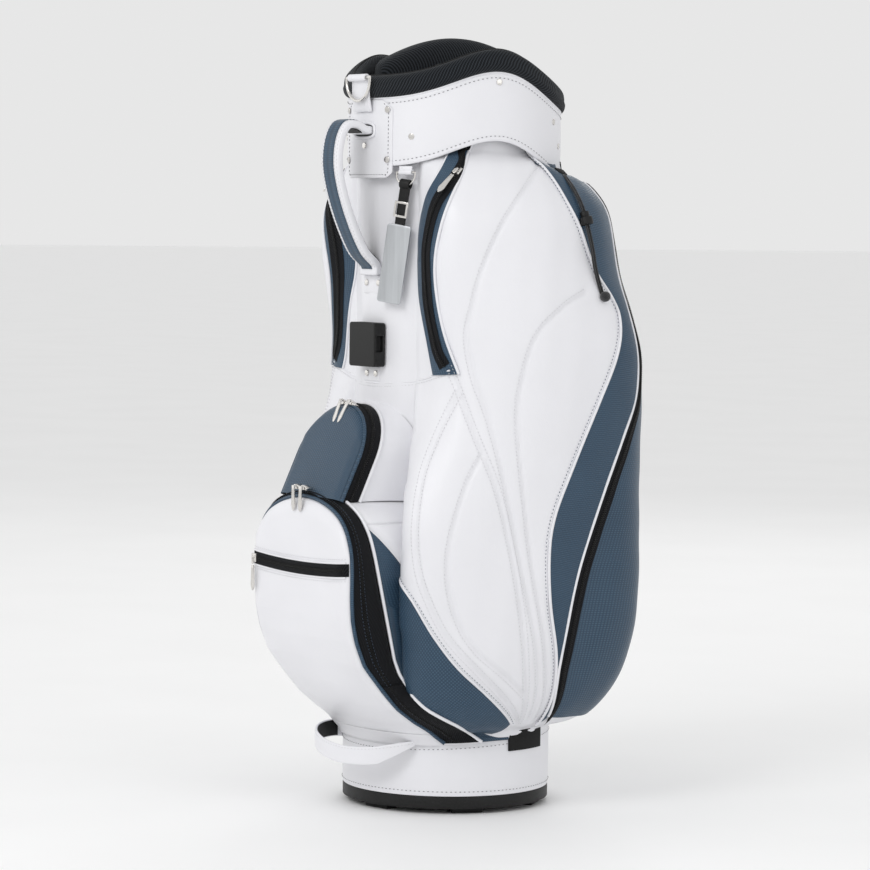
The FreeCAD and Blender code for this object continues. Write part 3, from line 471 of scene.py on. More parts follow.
skin_tree = solid_tree(["body_cover", "side_pocket_right", "rear_pocket_right"])
skin_table = np.zeros((len(skin_angles), len(skin_levels)))
for i, angle in enumerate(skin_angles):
    outwards = Vector((math.sin(math.radians(angle)), -math.cos(math.radians(angle)), 0))
    for j, level in enumerate(skin_levels):
        hit = skin_tree.ray_cast(outwards * 0.35 + Vector((0, 0, level)), -outwards)[0]
        skin_table[i, j] = 0.1075 if hit is None else math.hypot(hit.x, hit.y)
for _ in range(3):
    wide = np.pad(skin_table, 1, mode="edge")
    skin_table = (wide[:-2, 1:-1] + wide[2:, 1:-1] + wide[1:-1, :-2] + wide[1:-1, 2:]
                  + 2 * wide[1:-1, 1:-1]) / 6


def rim(angle):
    """Height of the collar's top edge: low in front, highest at the sides."""
    away = np.abs((np.asarray(angle) + 180) % 360 - 180)
    share = away / 180
    return (806 + 36 * np.exp(-(((away - 80) / 34) ** 2)) - 14 * share * share * (3 - 2 * share)) * MM


def band_top(angle):
    """Height of the base band's top edge, in metres."""
    return (77 + 14 * (1 - np.cos(np.radians(angle))) / 2) * MM


COLLAR_DROP = 0.076


def skin(angle, level):
    """Radius of the bag's skin at an angle and a height; both sides are alike."""
    away = np.clip(np.abs(np.asarray(angle, float)), 0, 180) / ANGLE_STEP
    up = np.clip((np.asarray(level, float) - LOW_LEVEL) / LEVEL_STEP, 0, len(skin_levels) - 1.001)
    i = np.clip(away.astype(int), 0, len(skin_angles) - 2)
    j = up.astype(int)
    a, b = away - i, up - j
    radius = (skin_table[i, j] * (1 - a) * (1 - b) + skin_table[i + 1, j] * a * (1 - b)
              + skin_table[i, j + 1] * (1 - a) * b + skin_table[i + 1, j + 1] * a * b)
    # tucked under the collar above and into the base band below
    under = np.clip((level - (rim(angle) - COLLAR_DROP - 0.008)) / 0.006, 0, 1)
    radius = radius * (1 - under) + np.minimum(radius, 0.1184) * under
    radius = np.where(level < 0.110, np.maximum(radius, 0.1212), radius)
    inside = np.clip((band_top(angle) + 0.0015 - level) / 0.003, 0, 1)
    return radius * (1 - inside) + 0.1176 * inside


def on_skin(angle, level, lift=0.0):
    """Points on the skin, lifted along its normal."""
    angle, level = np.asarray(angle, float), np.asarray(level, float)
    here = round_the_bag(angle, skin(angle, level), level)
    if np.ndim(lift) == 0 and lift == 0:
        return here
    return here + skin_normal(angle, level) * np.asarray(lift)[..., None]


def skin_normal(angle, level):
    across = (round_the_bag(angle + 0.8, skin(angle + 0.8, level), level)
              - round_the_bag(angle - 0.8, skin(angle - 0.8, level), level))
    upward = (round_the_bag(angle, skin(angle, level + 0.003), level + 0.003)
              - round_the_bag(angle, skin(angle, level - 0.003), level - 0.003))
    out = np.cross(across, upward)
    return out / np.linalg.norm(out, axis=-1, keepdims=True)


print("skin radius from", round(skin_table.min(), 4), "to", round(skin_table.max(), 4))

# %% [markdown]
# ## Seams
# A seam is a line sewn across the skin. Each is written as a few points, an angle round
# the bag and a height in millimetres, and a smooth line is drawn through them. The
# same line then serves the groove in the panel, the piping, the stitches and the zips.


# %% Seam lines
def trace(points, pitch=0.004, count=None):
    """Evenly spaced angles and heights along a smooth line through the points."""
    knots = np.array(points, float) * (1, MM)
    ends = np.vstack([2 * knots[0] - knots[1], knots, 2 * knots[-1] - knots[-2]])
    fine = []
    for p0, p1, p2, p3 in zip(ends, ends[1:], ends[2:], ends[3:]):
        for t in np.linspace(0, 1, 24, endpoint=False):
            fine.append(0.5 * (2 * p1 + (p2 - p0) * t + (2 * p0 - 5 * p1 + 4 * p2 - p3) * t * t
                               + (3 * p1 - p0 - 3 * p2 + p3) * t ** 3))
    fine = np.array(fine + [knots[-1]])
    placed = on_skin(fine[:, 0], fine[:, 1])
    gone = np.concatenate([[0], np.cumsum(np.linalg.norm(np.diff(placed, axis=0), axis=1))])
    steps = np.linspace(0, gone[-1], count or max(3, int(gone[-1] / pitch) + 1))
    return np.stack([np.interp(steps, gone, fine[:, k]) for k in (0, 1)], axis=1)


def beside(line, shift):
    """The line moved sideways on the skin; positive is to the right when going along it."""
    radius = skin(line[:, 0], line[:, 1])
    flat = np.stack([np.radians(line[:, 0]) * radius, line[:, 1]], axis=1)
    way = np.gradient(flat, axis=0)
    way /= np.linalg.norm(way, axis=1, keepdims=True)
    flat_shift = np.stack([way[:, 1], -way[:, 0]], axis=1) * np.asarray(shift).reshape(-1, 1)
    return line + np.stack([np.degrees(flat_shift[:, 0] / radius), flat_shift[:, 1]], axis=1)


SEAMS = {
    "front_main": ((55, 504), (58.5, 482), (65, 431), (72, 376), (76.5, 321), (81, 253), (86, 162),
                   (90, 108)),
    "sweep_long": ((105, 736), (88, 706), (76, 670), (67.5, 620), (63.3, 574), (61.6, 540), (64.5, 497),
                   (69.6, 453), (74, 398), (77.8, 343), (81.6, 287), (86, 231), (92, 150), (94, 108)),
    "sweep_inner": ((110, 592), (98.7, 575), (86.9, 542), (81.3, 486), (80.3, 442), (82.1, 376), (85.3, 298),
                    (89.8, 230), (96.5, 140), (98, 108)),
    "leaf_outer": ((58.7, 482), (49.4, 429), (44.8, 386), (43.6, 331), (44.8, 288), (47.8, 255), (54.7, 210),
                   (65.8, 172), (78, 138), (89, 106)),
    "leaf_inner": ((67.5, 414), (61.1, 376), (56, 321), (55.1, 277), (58.1, 232), (65.5, 194), (79, 160),
                   (87, 140)),
}
ZIP_FRONT_EDGE = ((55, 764), (49, 728), (41, 692), (35.5, 655), (35, 617), (38.5, 572), (44, 520),
                  (46.5, 497))
ZIP_BACK_EDGE = ((67, 764), (60, 728), (54, 692), (50.5, 660), (48.4, 625), (49, 590), (52.5, 546), (59, 500))
WHITE_BACK_EDGE = ((102, 764), (106, 722), (107, 690), (111, 660), (116, 617), (122, 582), (121.6, 552),
                   (111, 474),
                   (101, 397), (94, 341), (92, 297), (93, 241), (97, 185), (99.5, 140), (100, 104))
REAR_ZIP = ((136, 764), (137, 726), (137, 680), (134, 620), (130, 552), (127, 480), (121, 428), (112, 345),
            (105, 280), (101.5, 228), (100, 170), (103, 112))
TRIANGLE_EDGE = ((31, 350), (35.8, 284), (43.3, 249), (50.6, 209), (59.2, 174), (70.7, 143), (85, 108))
print("seams:", ", ".join(SEAMS))


# %% Piping, stitches and grooves
def tube(name, points, radius, finish, body="bag", closed=False, sides=2):
    """A round cord of piping through points that lie close together."""
    curve = bpy.data.curves.new(name, "CURVE")
    curve.dimensions = "3D"
    curve.bevel_depth = radius
    curve.bevel_resolution = sides
    curve.use_fill_caps = True
    spline = curve.splines.new("POLY")
    spline.points.add(len(points) - 1)
    for point, place in zip(spline.points, points):
        point.co = (*place, 1)
    spline.use_cyclic_u = closed
    spline.use_smooth = True
    curve.materials.append(finish)
    piece = bpy.data.objects.new(name, curve)
    scene.collection.objects.link(piece)
    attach(piece, body)
    return piece


def both_sides(points):
    """A list of points and its mirror image across the bag's middle plane."""
    points = np.asarray(points)
    return {"right": points, "left": points * (-1, 1, 1)}


def piping(name, line, radius, finish, lift=0.0008):
    for side, points in both_sides(on_skin(line[:, 0], line[:, 1], np.full(len(line), lift))).items():
        tube(f"{name}_{side}", points, radius, finish)


stitch_rows = {}


def stitch(points, normals, finish, pitch=0.0042, body="bag", mirror=True):
    """Notes a row of stitches to be made later, all of one thread and body together."""
    points, normals = np.asarray(points, float), np.asarray(normals, float)
    gone = np.concatenate([[0], np.cumsum(np.linalg.norm(np.diff(points, axis=0), axis=1))])
    steps = np.arange(pitch / 2, gone[-1], pitch)
    if len(steps) < 2:
        return
    spot = np.stack([np.interp(steps, gone, points[:, k]) for k in range(3)], axis=1)
    out = np.stack([np.interp(steps, gone, normals[:, k]) for k in range(3)], axis=1)
    way = np.gradient(spot, axis=0)
    rows = stitch_rows.setdefault((finish.name, body), [])
    rows.extend(zip(spot, way, out))
    if mirror:
        flip = np.array((-1, 1, 1))
        rows.extend(zip(spot * flip, way * flip, out * flip))


def make_stitches(length=0.0026, width=0.0008):
    """Every noted stitch becomes a small rounded bead of thread."""
    for (finish_name, body), rows in stitch_rows.items():
        made = bmesh.new()
        for spot, way, out in rows:
            along = Vector(way).normalized()
            up = Vector(out).normalized()
            side = up.cross(along)
            pose = Matrix((along * length / 2, side * width / 2, up * width / 2)).transposed().to_4x4()
            pose.translation = Vector(spot)
            bmesh.ops.create_icosphere(made, subdivisions=1, radius=1.0, matrix=pose)
        bmesh.ops.recalc_face_normals(made, faces=made.faces)
        finish_piece(f"stitches_{finish_name}_{body}", made, bpy.data.materials[finish_name], body)
        print("stitches", finish_name, body, len(rows))


def skin_stitch(line, shift, finish=GREY_THREAD, lift=0.0004, pitch=0.0042):
    moved = beside(line, shift)
    stitch(on_skin(moved[:, 0], moved[:, 1], np.full(len(moved), lift)),
           skin_normal(moved[:, 0], moved[:, 1]), finish, pitch)


def distance_to(lines, angle, level):
    """Distance over the skin from each point to the nearest of several lines."""
    radius = skin(angle, level)
    near = np.full(angle.shape, 1.0)
    for line in lines:
        for (a0, z0), (a1, z1) in zip(line, line[1:]):
            mid = np.abs(level - (z0 + z1) / 2) < 0.05
            if not mid.any():
                continue
            r = radius[mid]
            px, pz = np.radians(angle[mid] - a0) * r, level[mid] - z0
            dx, dz = np.radians(a1 - a0) * r, z1 - z0
            t = np.clip((px * dx + pz * dz) / (dx * dx + dz * dz + 1e-12), 0, 1)
            near[mid] = np.minimum(near[mid], np.hypot(px - t * dx, pz - t * dz))
    return near


# %% [markdown]
# ## White side panels
# Each half of the bag is covered by one large sheet of white leather over thin foam. The
# curved seams are sewn through the foam, so every seam is a narrow valley with softly
# crowned leather between. The sheet is moved in along each seam by code, which keeps the
# seams crisp where a cloth simulation would lose them.

# %% White skin with its sewn seams
seam_lines = {name: trace(points, 0.008) for name, points in SEAMS.items()}


def crowned(angle, level, lines, groove=0.0016, crown=0.0022):
    """How far the leather stands out: a valley at each seam and a crown between them."""
    away = distance_to(lines, angle, level)
    valley = -groove * np.exp(-((away / 0.0022) ** 2))
    pillow = crown * (1 - np.exp(-away / 0.016))
    ripple = 0.0005 * np.sin(angle * 0.31 + level * 41) * np.sin(level * 63 - angle * 0.17)
    return valley + pillow + ripple


def half_skin(hand):
    def place(u, v):
        angle = 180 * u
        low, high = band_top(angle) - 0.004, rim(angle) - COLLAR_DROP + 0.006
        level = low + (high - low) * v
        ease = np.clip(np.minimum(v, 1 - v) / 0.03, 0, 1)
        out = crowned(angle, level, list(seam_lines.values())) * ease
        points = on_skin(angle, level, out)
        return points * (hand, 1, 1)
    return place


for side, hand in (("right", 1), ("left", -1)):
    stands_for = [f"side_pocket_{side}", f"rear_pocket_{side}"] + (["body_cover"] if hand > 0 else [])
    half = cloth(f"white_panels_{side}", 250, 270, half_skin(hand), (0.52, 0.66), WHITE,
                 replaces=stands_for, flip=hand < 0)
    print(half.name, len(half.data.polygons), "faces")
for seam_name, line in seam_lines.items():
    fine = trace(SEAMS[seam_name], 0.004)
    for shift in ((-0.0042, 0.0042) if seam_name in ("front_main", "leaf_outer") else (0.0040,)):
        skin_stitch(fine, shift, WHITE_THREAD, 0.0012)

# %% [markdown]
# ## Navy panels, zips and their piping
# Navy leather with an embossed weave is sewn over the white: a gusset beside each upper
# zip, a long blade that runs back from the ball pocket, and the two rear panels. Each is a
# strip of cloth between two seam lines that lies just above the white skin, and a round
# white piping covers its edges, as on the real bag.


# %% Strips between two seam lines
def strip(name, one, two, columns, lift, finish, crown=0.0, replaces=None, width=0.03):
    """A sheet between two traced lines, made for both sides of the bag."""
    rows = len(one) - 1

    def place_for(hand):
        def place(u, v):
            k = v * rows
            first = [np.interp(k, np.arange(rows + 1), one[:, i]) for i in (0, 1)]
            second = [np.interp(k, np.arange(rows + 1), two[:, i]) for i in (0, 1)]
            angle = first[0] + (second[0] - first[0]) * u
            level = first[1] + (second[1] - first[1]) * u
            rise = crowned(angle, level, list(seam_lines.values())) + lift
            rise = rise + crown * np.sin(np.pi * u) ** 0.5
            return on_skin(angle, level, rise) * (hand, 1, 1)
        return place

    length = abs(one[0, 1] - one[-1, 1]) * 1.05
    for side, hand in (("right", 1), ("left", -1)):
        stands = [r.format(side) for r in replaces or ()]
        piece = cloth(f"{name}_{side}", columns, rows, place_for(hand), (width, length), finish,
                      replaces=stands, flip=hand > 0)
        print(piece.name, len(piece.data.polygons), "faces")


def two_lines(one, two, count):
    return trace(one, count=count), trace(two, count=count)


front_edge, back_edge = two_lines(ZIP_FRONT_EDGE, ZIP_BACK_EDGE, 70)
strip("zip_gusset", front_edge, back_edge, 18, 0.0010, NAVY, 0.0012)
blade_front = trace(((30.5, 352), (31, 300), (32, 250), (33.5, 200), (36, 165), (41, 134), (50, 112),
                     (62, 100), (80, 93)),
                    count=90)
blade_back = trace(TRIANGLE_EDGE, count=90)
strip("navy_blade", blade_front, blade_back, 26, 0.0010, NAVY, 0.0014, width=0.06)
white_back, rear_zip = two_lines(WHITE_BACK_EDGE, REAR_ZIP, 130)
strip("navy_side_panel", white_back, rear_zip, 30, 0.0010, NAVY, 0.0016, width=0.07)
REAR_EDGE = ((166, 760), (167, 700), (167, 600), (167, 450), (167, 300), (166, 200), (163, 140), (158, 112))
rear_edge = trace(REAR_EDGE, count=130)
strip("navy_rear_panel", rear_zip, rear_edge, 60, 0.0010, NAVY, 0.0024, width=0.13)


# %% Zips
zip_links = {}


def note_teeth(line_points, normals, body, mirror=True, gap=0.0019, pitch=0.0024):
    """Notes two rows of coil teeth beside a zip's centre line."""
    gone = np.concatenate([[0], np.cumsum(np.linalg.norm(np.diff(line_points, axis=0), axis=1))])
    steps = np.arange(pitch, gone[-1], pitch)
    spot = np.stack([np.interp(steps, gone, line_points[:, k]) for k in range(3)], axis=1)
    out = np.stack([np.interp(steps, gone, normals[:, k]) for k in range(3)], axis=1)
    way = np.gradient(spot, axis=0)
    side = np.cross(out, way)
    side /= np.linalg.norm(side, axis=1, keepdims=True)
    for hand in (1, -1) if mirror else (1,):
        flip = np.array((hand, 1, 1))
        rows = zip_links.setdefault((body), [])
        for shift in (-1, 1):
            offset = way * (0.25 * shift)
            rows.extend(zip((spot + side * gap * shift / 2 + offset) * flip, side * flip, out * flip))


def make_teeth():
    for body, rows in zip_links.items():
        made = bmesh.new()
        for spot, side, out in rows:
            across = Vector(side).normalized()
            up = Vector(out).normalized()
            along = up.cross(across)
            pose = Matrix((across * 0.0017, along * 0.0008, up * 0.0008)).transposed().to_4x4()
            pose.translation = Vector(spot)
            bmesh.ops.create_icosphere(made, subdivisions=1, radius=1.0, matrix=pose)
        bmesh.ops.recalc_face_normals(made, faces=made.faces)
        finish_piece(f"zip_teeth_{body}", made, TEETH, body)
        print("zip teeth", body, len(rows))


def zip_on_skin(name, line, width, lift):
    """Tape and teeth of a zip that runs over the skin."""
    left, right = beside(line, -width / 2), beside(line, width / 2)
    strip(f"{name}_tape", left, right, 6, lift, TAPE, width=width)
    rise = crowned(line[:, 0], line[:, 1], list(seam_lines.values())) + lift + 0.0008
    note_teeth(on_skin(line[:, 0], line[:, 1], rise), skin_normal(line[:, 0], line[:, 1]), "bag")


UPPER_ZIP = ((62.5, 762), (57, 724), (49, 690), (44.4, 648), (43.6, 610), (45.2, 570), (49, 530), (53, 508))
upper_zip = trace(UPPER_ZIP, count=70)
zip_on_skin("upper_zip", upper_zip, 0.013, 0.0026)
rear_line = beside(rear_zip, -0.004)
zip_on_skin("rear_zip", rear_line, 0.013, 0.0030)

PIPE = 0.0017
piping("piping_zip_back", back_edge, PIPE, WHITE, 0.0030)
piping("piping_zip_front", front_edge, PIPE * 0.8, WHITE, 0.0026)
piping("piping_blade", blade_back, PIPE * 0.9, WHITE, 0.0024)
piping("piping_white_back", white_back, PIPE, WHITE, 0.0030)
piping("piping_rear_zip", beside(rear_zip, 0.0035), PIPE, WHITE, 0.0040)
piping("piping_rear_edge", rear_edge, PIPE, WHITE, 0.0030)
SMILE = ((0, 485), (12, 485.5), (25, 487.5), (36, 490), (46, 496), (55, 504))
smile = trace(SMILE, count=60)
piping("smile_seam", smile, 0.0011, WHITE, 0.0014)
skin_stitch(smile, 0.0036, WHITE_THREAD, 0.0022)
skin_stitch(blade_back, -0.0034, NAVY_THREAD, 0.0030)
skin_stitch(back_edge, 0.0045, WHITE_THREAD, 0.0022)
skin_stitch(white_back, -0.0045, WHITE_THREAD, 0.0022)
skin_stitch(white_back, 0.0045, NAVY_THREAD, 0.0030)

# %% [markdown]
# ## Ball pocket
# The ball pocket is a stiff bellied front with rounded upper corners, joined to the bag by
# a zip gusset. Its front and the gusset swing together on the lower seam, so they ride on
# the lid's body, and the white piping and the walls behind it stay on the bag.


# %% Shape of the ball pocket
BELLY = ((78, -120.6), (92, -124), (108, -140), (135, -165), (162, -182), (190, -196), (214, -204),
         (240, -207),
         (300, -207), (366, -206))
HALF_WIDTH = 0.099
# The flat front wraps round the bag at its foot: the share of a full circle at each height.
WRAP_LEVELS, WRAP_SHARES = (80, 88, 97, 107, 125, 148, 175), (0.92, 0.72, 0.60, 0.40, 0.23, 0.15, 0.0)
WRAP_RADIUS = 0.1225
# Where the gusset leaves the pocket's corner for the bag's skin.
CORNER = 0.150


def front_y(level):
    """How far forward the pocket's front stands at a height."""
    z, y = np.array(BELLY, float).T * MM
    smooth = np.interp(level, z, y)
    for step in (0.006, 0.012):
        smooth = (smooth + np.interp(level - step, z, y) + np.interp(level + step, z, y)) / 3
    return smooth


def wrap(x, level):
    """How far the front falls back beside the middle, near its foot."""
    fall_back = WRAP_RADIUS - np.sqrt(WRAP_RADIUS ** 2 - np.clip(np.abs(x), 0, 0.12) ** 2)
    return fall_back * np.interp(level, np.array(WRAP_LEVELS) * MM, WRAP_SHARES)


def split_y(level):
    """The plane where the swinging front parts from the bag: hinge to arch."""
    return (-122.5 - 65.5 * (level / MM - 91.5) / 274.5) * MM


FACE_ARCH = ((100, 82), (100, 130), (100, 170), (100, 210), (100, 250), (100, 285), (97, 307), (86, 328),
             (70, 342),
             (49, 351), (25, 357), (0, 359))
BACK_ARCH = ((100, 84), (100, 130), (100, 170), (100, 210), (100, 255), (100, 298), (98, 320), (88, 340),
             (71, 352),
             (50, 360), (25, 366), (0, 368))


def arch(points, count=161, grow=0.0):
    """An even line from the right foot over the top to the left foot: (x, z)."""
    half = np.array(points, float) * MM
    whole = np.vstack([half, half[-2::-1] * (-1, 1)])
    whole[:, 0] *= (HALF_WIDTH + grow) / 0.1
    gone = np.concatenate([[0], np.cumsum(np.linalg.norm(np.diff(whole, axis=0), axis=1))])
    steps = np.linspace(0, gone[-1], count)
    line = np.stack([np.interp(steps, gone, whole[:, k]) for k in (0, 1)], axis=1)
    for _ in range(6):
        line[1:-1] = (line[:-2] + 2 * line[1:-1] + line[2:]) / 4
    return line


face_arch, back_arch = arch(FACE_ARCH), arch(BACK_ARCH)
face_y = front_y(face_arch[:, 1]) + 0.0085 + wrap(face_arch[:, 0], face_arch[:, 1])
face_edge = np.stack([face_arch[:, 0], face_y, face_arch[:, 1]], axis=1)
# Below its corners the gusset's back edge turns off over the skin towards the rear.
TURN_LEVELS = (84, 106, 126, 147, 165, 180)
TURN_X, TURN_Y = (114.5, 107.5, 106, 105.5, 103, 99), (-37, -66, -101, -128, -140, -143.9)
turn_z = np.array(TURN_LEVELS) * MM
turned = back_arch[:, 1] < turn_z[-1]
back_x = np.where(turned, np.sign(back_arch[:, 0]) * np.interp(back_arch[:, 1], turn_z,
                                                               np.array(TURN_X) * MM),
                  back_arch[:, 0])
back_y = np.where(turned, np.interp(back_arch[:, 1], turn_z, np.array(TURN_Y) * MM),
                  split_y(back_arch[:, 1]) - 0.0004)
back_edge_3d = np.stack([back_x, back_y, back_arch[:, 1]], axis=1)


def clear_of_skin(points, lift):
    """Pushes points near the foot out to just above the bag's skin."""
    angle = np.degrees(np.arctan2(points[:, 0], -points[:, 1]))
    reach = np.hypot(points[:, 0], points[:, 1])
    wanted = skin(angle, points[:, 2]) + lift
    grow = np.where(points[:, 2] < CORNER + 0.03, np.maximum(1, wanted / reach), 1)
    return points * np.stack([grow, grow, np.ones(len(points))], axis=1)


face_edge, back_edge_3d = clear_of_skin(face_edge, 0.0050), clear_of_skin(back_edge_3d, 0.0078)
arch_centre = np.array((0, -0.15, 0.22))


def outward(points):
    """Directions away from the pocket's middle, level with its front."""
    away = (points - arch_centre) * (1, 0, 1)
    away[:, 2] = np.where(points[:, 2] < 0.28, 0, away[:, 2])
    return away / np.linalg.norm(away, axis=1, keepdims=True)


# %% The white front
def ball_front(u, v, foot=0.0925, head=None):
    s = np.sin((u - 0.5) * np.pi)
    x = s * HALF_WIDTH * 0.985
    top = np.interp(np.abs(x), face_arch[:81, 0][::-1], face_arch[:81, 1][::-1]) - 0.001
    top = top if head is None else np.full_like(top, head)
    level = foot + (top - foot) * v
    edge = (1 - np.abs(s)) * HALF_WIDTH
    edge = edge if head else np.minimum(edge, top - level)
    fall = np.clip(1 - edge / 0.016, 0, 1)
    crown = 0.0 if head else 0.0030 * (1 - s * s) * np.sin(np.pi * np.clip(v, 0, 1)) ** 0.6
    crease = 0.0006 * np.sin(level * 95 + x * 22) * np.sin(x * 48)
    y = front_y(level) + 0.0085 * (1 - np.sqrt(np.clip(1 - fall * fall, 0,
                                                       1))) - crown * 0.3 - crease * (1 - fall)
    return np.stack([x, y + wrap(x, level), level], axis=-1)


def ball_hem(u, v):
    """The strip under the lid's lower seam, which stays on the bag."""
    return ball_front(u, v, 0.0785, 0.0923)


hem = cloth("ball_pocket_hem", 90, 10, ball_hem, (0.2, 0.014), WHITE, "bag")
thicken(hem, 0.0022)
ball_face = cloth("ball_pocket_front", 90, 120, ball_front, (0.2, 0.30), WHITE, "ball_lid",
                  ["ball_pocket_lid"])
thicken(ball_face, 0.0022)


def ribbon(name, one, two, columns, bulge, finish, body, replaces=(), wall=0.0, flip=False, width=0.03):
    """A sheet between two rows of points in space, with a slight outward bulge."""
    rows = len(one) - 1
    out = outward((one + two) / 2)

    def place(u, v):
        k = v * rows
        first = np.stack([np.interp(k, np.arange(rows + 1), one[:, i]) for i in range(3)], axis=1)
        second = np.stack([np.interp(k, np.arange(rows + 1), two[:, i]) for i in range(3)], axis=1)
        push = np.stack([np.interp(k, np.arange(rows + 1), out[:, i]) for i in range(3)], axis=1)
        return first + (second - first) * u[:, None] + push * (bulge * np.sin(np.pi * u))[:, None]

    length = float(np.sum(np.linalg.norm(np.diff(one, axis=0), axis=1)))
    piece = cloth(name, columns, rows, place, (width, length), finish, body, replaces, flip=flip)
    if wall:
        thicken(piece, wall)
    return piece


arch_out = outward(face_edge)
zip_line = face_edge * 0.62 + back_edge_3d * 0.38 + arch_out * 0.0022
above = np.where(face_edge[:, 2] >= CORNER)[0]
upper, feet = slice(above[0], above[-1] + 1), (slice(0, above[0] + 1), slice(above[-1], len(face_edge)))
ribbon("ball_gusset", face_edge[upper], back_edge_3d[upper], 10, 0.0016, TAPE, "ball_lid",
       wall=0.0016,
       width=0.04)
for part, body in ((upper, "ball_lid"), (feet[0], "bag"), (feet[1], "bag")):
    note_teeth(zip_line[part], arch_out[part], body, mirror=False)
    for share in (0.30, 0.46):
        row = (face_edge * (1 - share) + back_edge_3d * share + arch_out * 0.0019)[part]
        stitch(row, arch_out[part], NAVY_THREAD, 0.004, body, mirror=False)
tube("ball_pocket_piping", (face_edge + arch_out * 0.0002)[upper], 0.0022, NAVY_PLAIN, "ball_lid")
for side, part in zip(("right", "left"), feet):
    ribbon(f"gusset_foot_{side}", face_edge[part], back_edge_3d[part], 10, 0.0028, TAPE, "bag",
           wall=0.0016, width=0.04)
    tube(f"foot_piping_{side}", (face_edge + arch_out * 0.0002)[part], 0.0022, NAVY_PLAIN, "bag")

# %% The white piping and the walls behind it, which stay on the bag
behind = back_edge_3d + (0, 0.0030, 0)
tube("ball_pocket_outer_piping", behind + outward(behind) * 0.0010, 0.0019, WHITE, "bag")
wall_end = behind.copy()
wall_end[:, 1] = -np.sqrt(np.clip(0.1085 ** 2 - wall_end[:, 0] ** 2, 0, 1)) + 0.002
wall_end[:, 1] = np.maximum(wall_end[:, 1], behind[:, 1] + 0.0015)
high = np.where(back_arch[:, 1] > 0.331)[0]
low_right = slice(0, high[0] + 1)
low_left = slice(high[-1], len(behind))
ribbon("ball_wall_top", behind[high[0]:high[-1] + 1], wall_end[high[0]:high[-1] + 1], 8, 0.0, WHITE, "bag",
       ["ball_pocket"], 0.002)
# The navy of the walls narrows to a point at the top; the white above it meets it slanting.
POINT_LEVEL, SKIN_LEVEL, SKIN_Y = 0.331, 0.240, -0.098
for side, part in (("right", low_right), ("left", low_left)):
    start, end = behind[part], wall_end[part]
    share = np.clip((start[:, 2] - SKIN_LEVEL) / (POINT_LEVEL - SKIN_LEVEL), 0, 1)
    slant = end.copy()
    slant[:, 1] = np.where(share > 0, SKIN_Y + (start[:, 1] - SKIN_Y) * share, end[:, 1])
    ribbon(f"ball_wall_{side}", start, slant, 8, 0.0, NAVY, "bag", wall=0.002)
    white = np.where(share > 0)[0]
    ribbon(f"ball_wall_white_{side}", slant[white], end[white], 6, 0.0, WHITE, "bag",
           wall=0.002)


# %% The zip across the front
def zip_level(x):
    """The zip's height: a shallow smile, a little higher at both ends."""
    return 0.2790 + 0.0045 * (x / HALF_WIDTH) ** 2


def face_point(x, level, lift):
    u = np.arcsin(np.clip(x / (HALF_WIDTH * 0.985), -1, 1)) / np.pi + 0.5
    s = np.sin((u - 0.5) * np.pi)
    edge = (1 - np.abs(s)) * HALF_WIDTH
    fall = np.clip(1 - edge / 0.016, 0, 1)
    y = front_y(level) + 0.0085 * (1 - np.sqrt(np.clip(1 - fall * fall, 0, 1)))
    return np.stack([x, y - 0.0012 - lift, level], axis=-1)


def face_tape(u, v):
    x = (u - 0.5) * 2 * HALF_WIDTH * 0.984
    level = zip_level(x) + (v - 0.5) * 0.0140
    return face_point(x, level, 0.0008)


cloth("front_zip_tape", 60, 4, face_tape, (0.19, 0.011), TAPE, "ball_lid")
xs = np.linspace(-HALF_WIDTH * 0.96, HALF_WIDTH * 0.96, 70)
note_teeth(face_point(xs, zip_level(xs), 0.0013), np.tile((0.0, -1.0, 0.0), (70, 1)), "ball_lid",
           mirror=False)
for shift in (-0.0082, 0.0082):
    tube(f"front_zip_welt_{'low' if shift < 0 else 'high'}", face_point(xs, zip_level(xs) + shift, 0.0002),
         0.0012, WHITE,
         "ball_lid")
    stitch(face_point(xs, zip_level(xs) + shift * 1.5, 0.0002), np.tile((0.0, -1.0, 0.0), (70, 1)),
           WHITE_THREAD,
           0.0042, "ball_lid", mirror=False)

# %% [markdown]
# ## Dome pocket
# Above the ball pocket stands a small domed pocket with a leaning navy face, navy piping,
# a black zip round its edge and a white piping where it meets the bag.

# %% Dome face and gusset
DOME_RADIUS, DOME_LEAN = 0.062, math.radians(25)
dome_middle = np.array((0, -0.146 - 0.062 * math.sin(DOME_LEAN), 0.462 - 0.062 * math.cos(DOME_LEAN)))
dome_up = np.array((0, math.sin(DOME_LEAN), math.cos(DOME_LEAN)))
dome_out = np.array((0, -math.cos(DOME_LEAN), math.sin(DOME_LEAN)))
DOME_FOOT = -0.052


def dome_line(radius, count=81):
    """From the right foot up, over the arch and down to the left foot, in the face's plane."""
    rise = np.linspace(DOME_FOOT, 0, 14, endpoint=False)
    bend = np.linspace(0, math.pi, count - 28)
    x = np.concatenate([np.full(14, radius), radius * np.cos(bend), np.full(14, -radius)])
    z = np.concatenate([rise, radius * np.sin(bend), rise[::-1]])
    return x, z


def in_dome(x, z, out):
    return (dome_middle + np.asarray(x)[..., None] * (1, 0, 0) + np.asarray(z)[..., None] * dome_up
            + np.asarray(out)[..., None] * dome_out)


def dome_face(u, v):
    s = np.sin((u - 0.5) * np.pi)
    x = s * DOME_RADIUS * 0.985
    top = np.sqrt(np.clip(DOME_RADIUS ** 2 - x * x, 0, 1)) * 0.985
    z = DOME_FOOT + (top - DOME_FOOT) * v
    edge = np.minimum((1 - np.abs(s)) * DOME_RADIUS, top - z)
    fall = np.clip(1 - edge / 0.012, 0, 1)
    out = -0.006 * (1 - np.sqrt(np.clip(1 - fall * fall, 0, 1))) + 0.0020 * (1 - s * s)
    return in_dome(x, z, out)


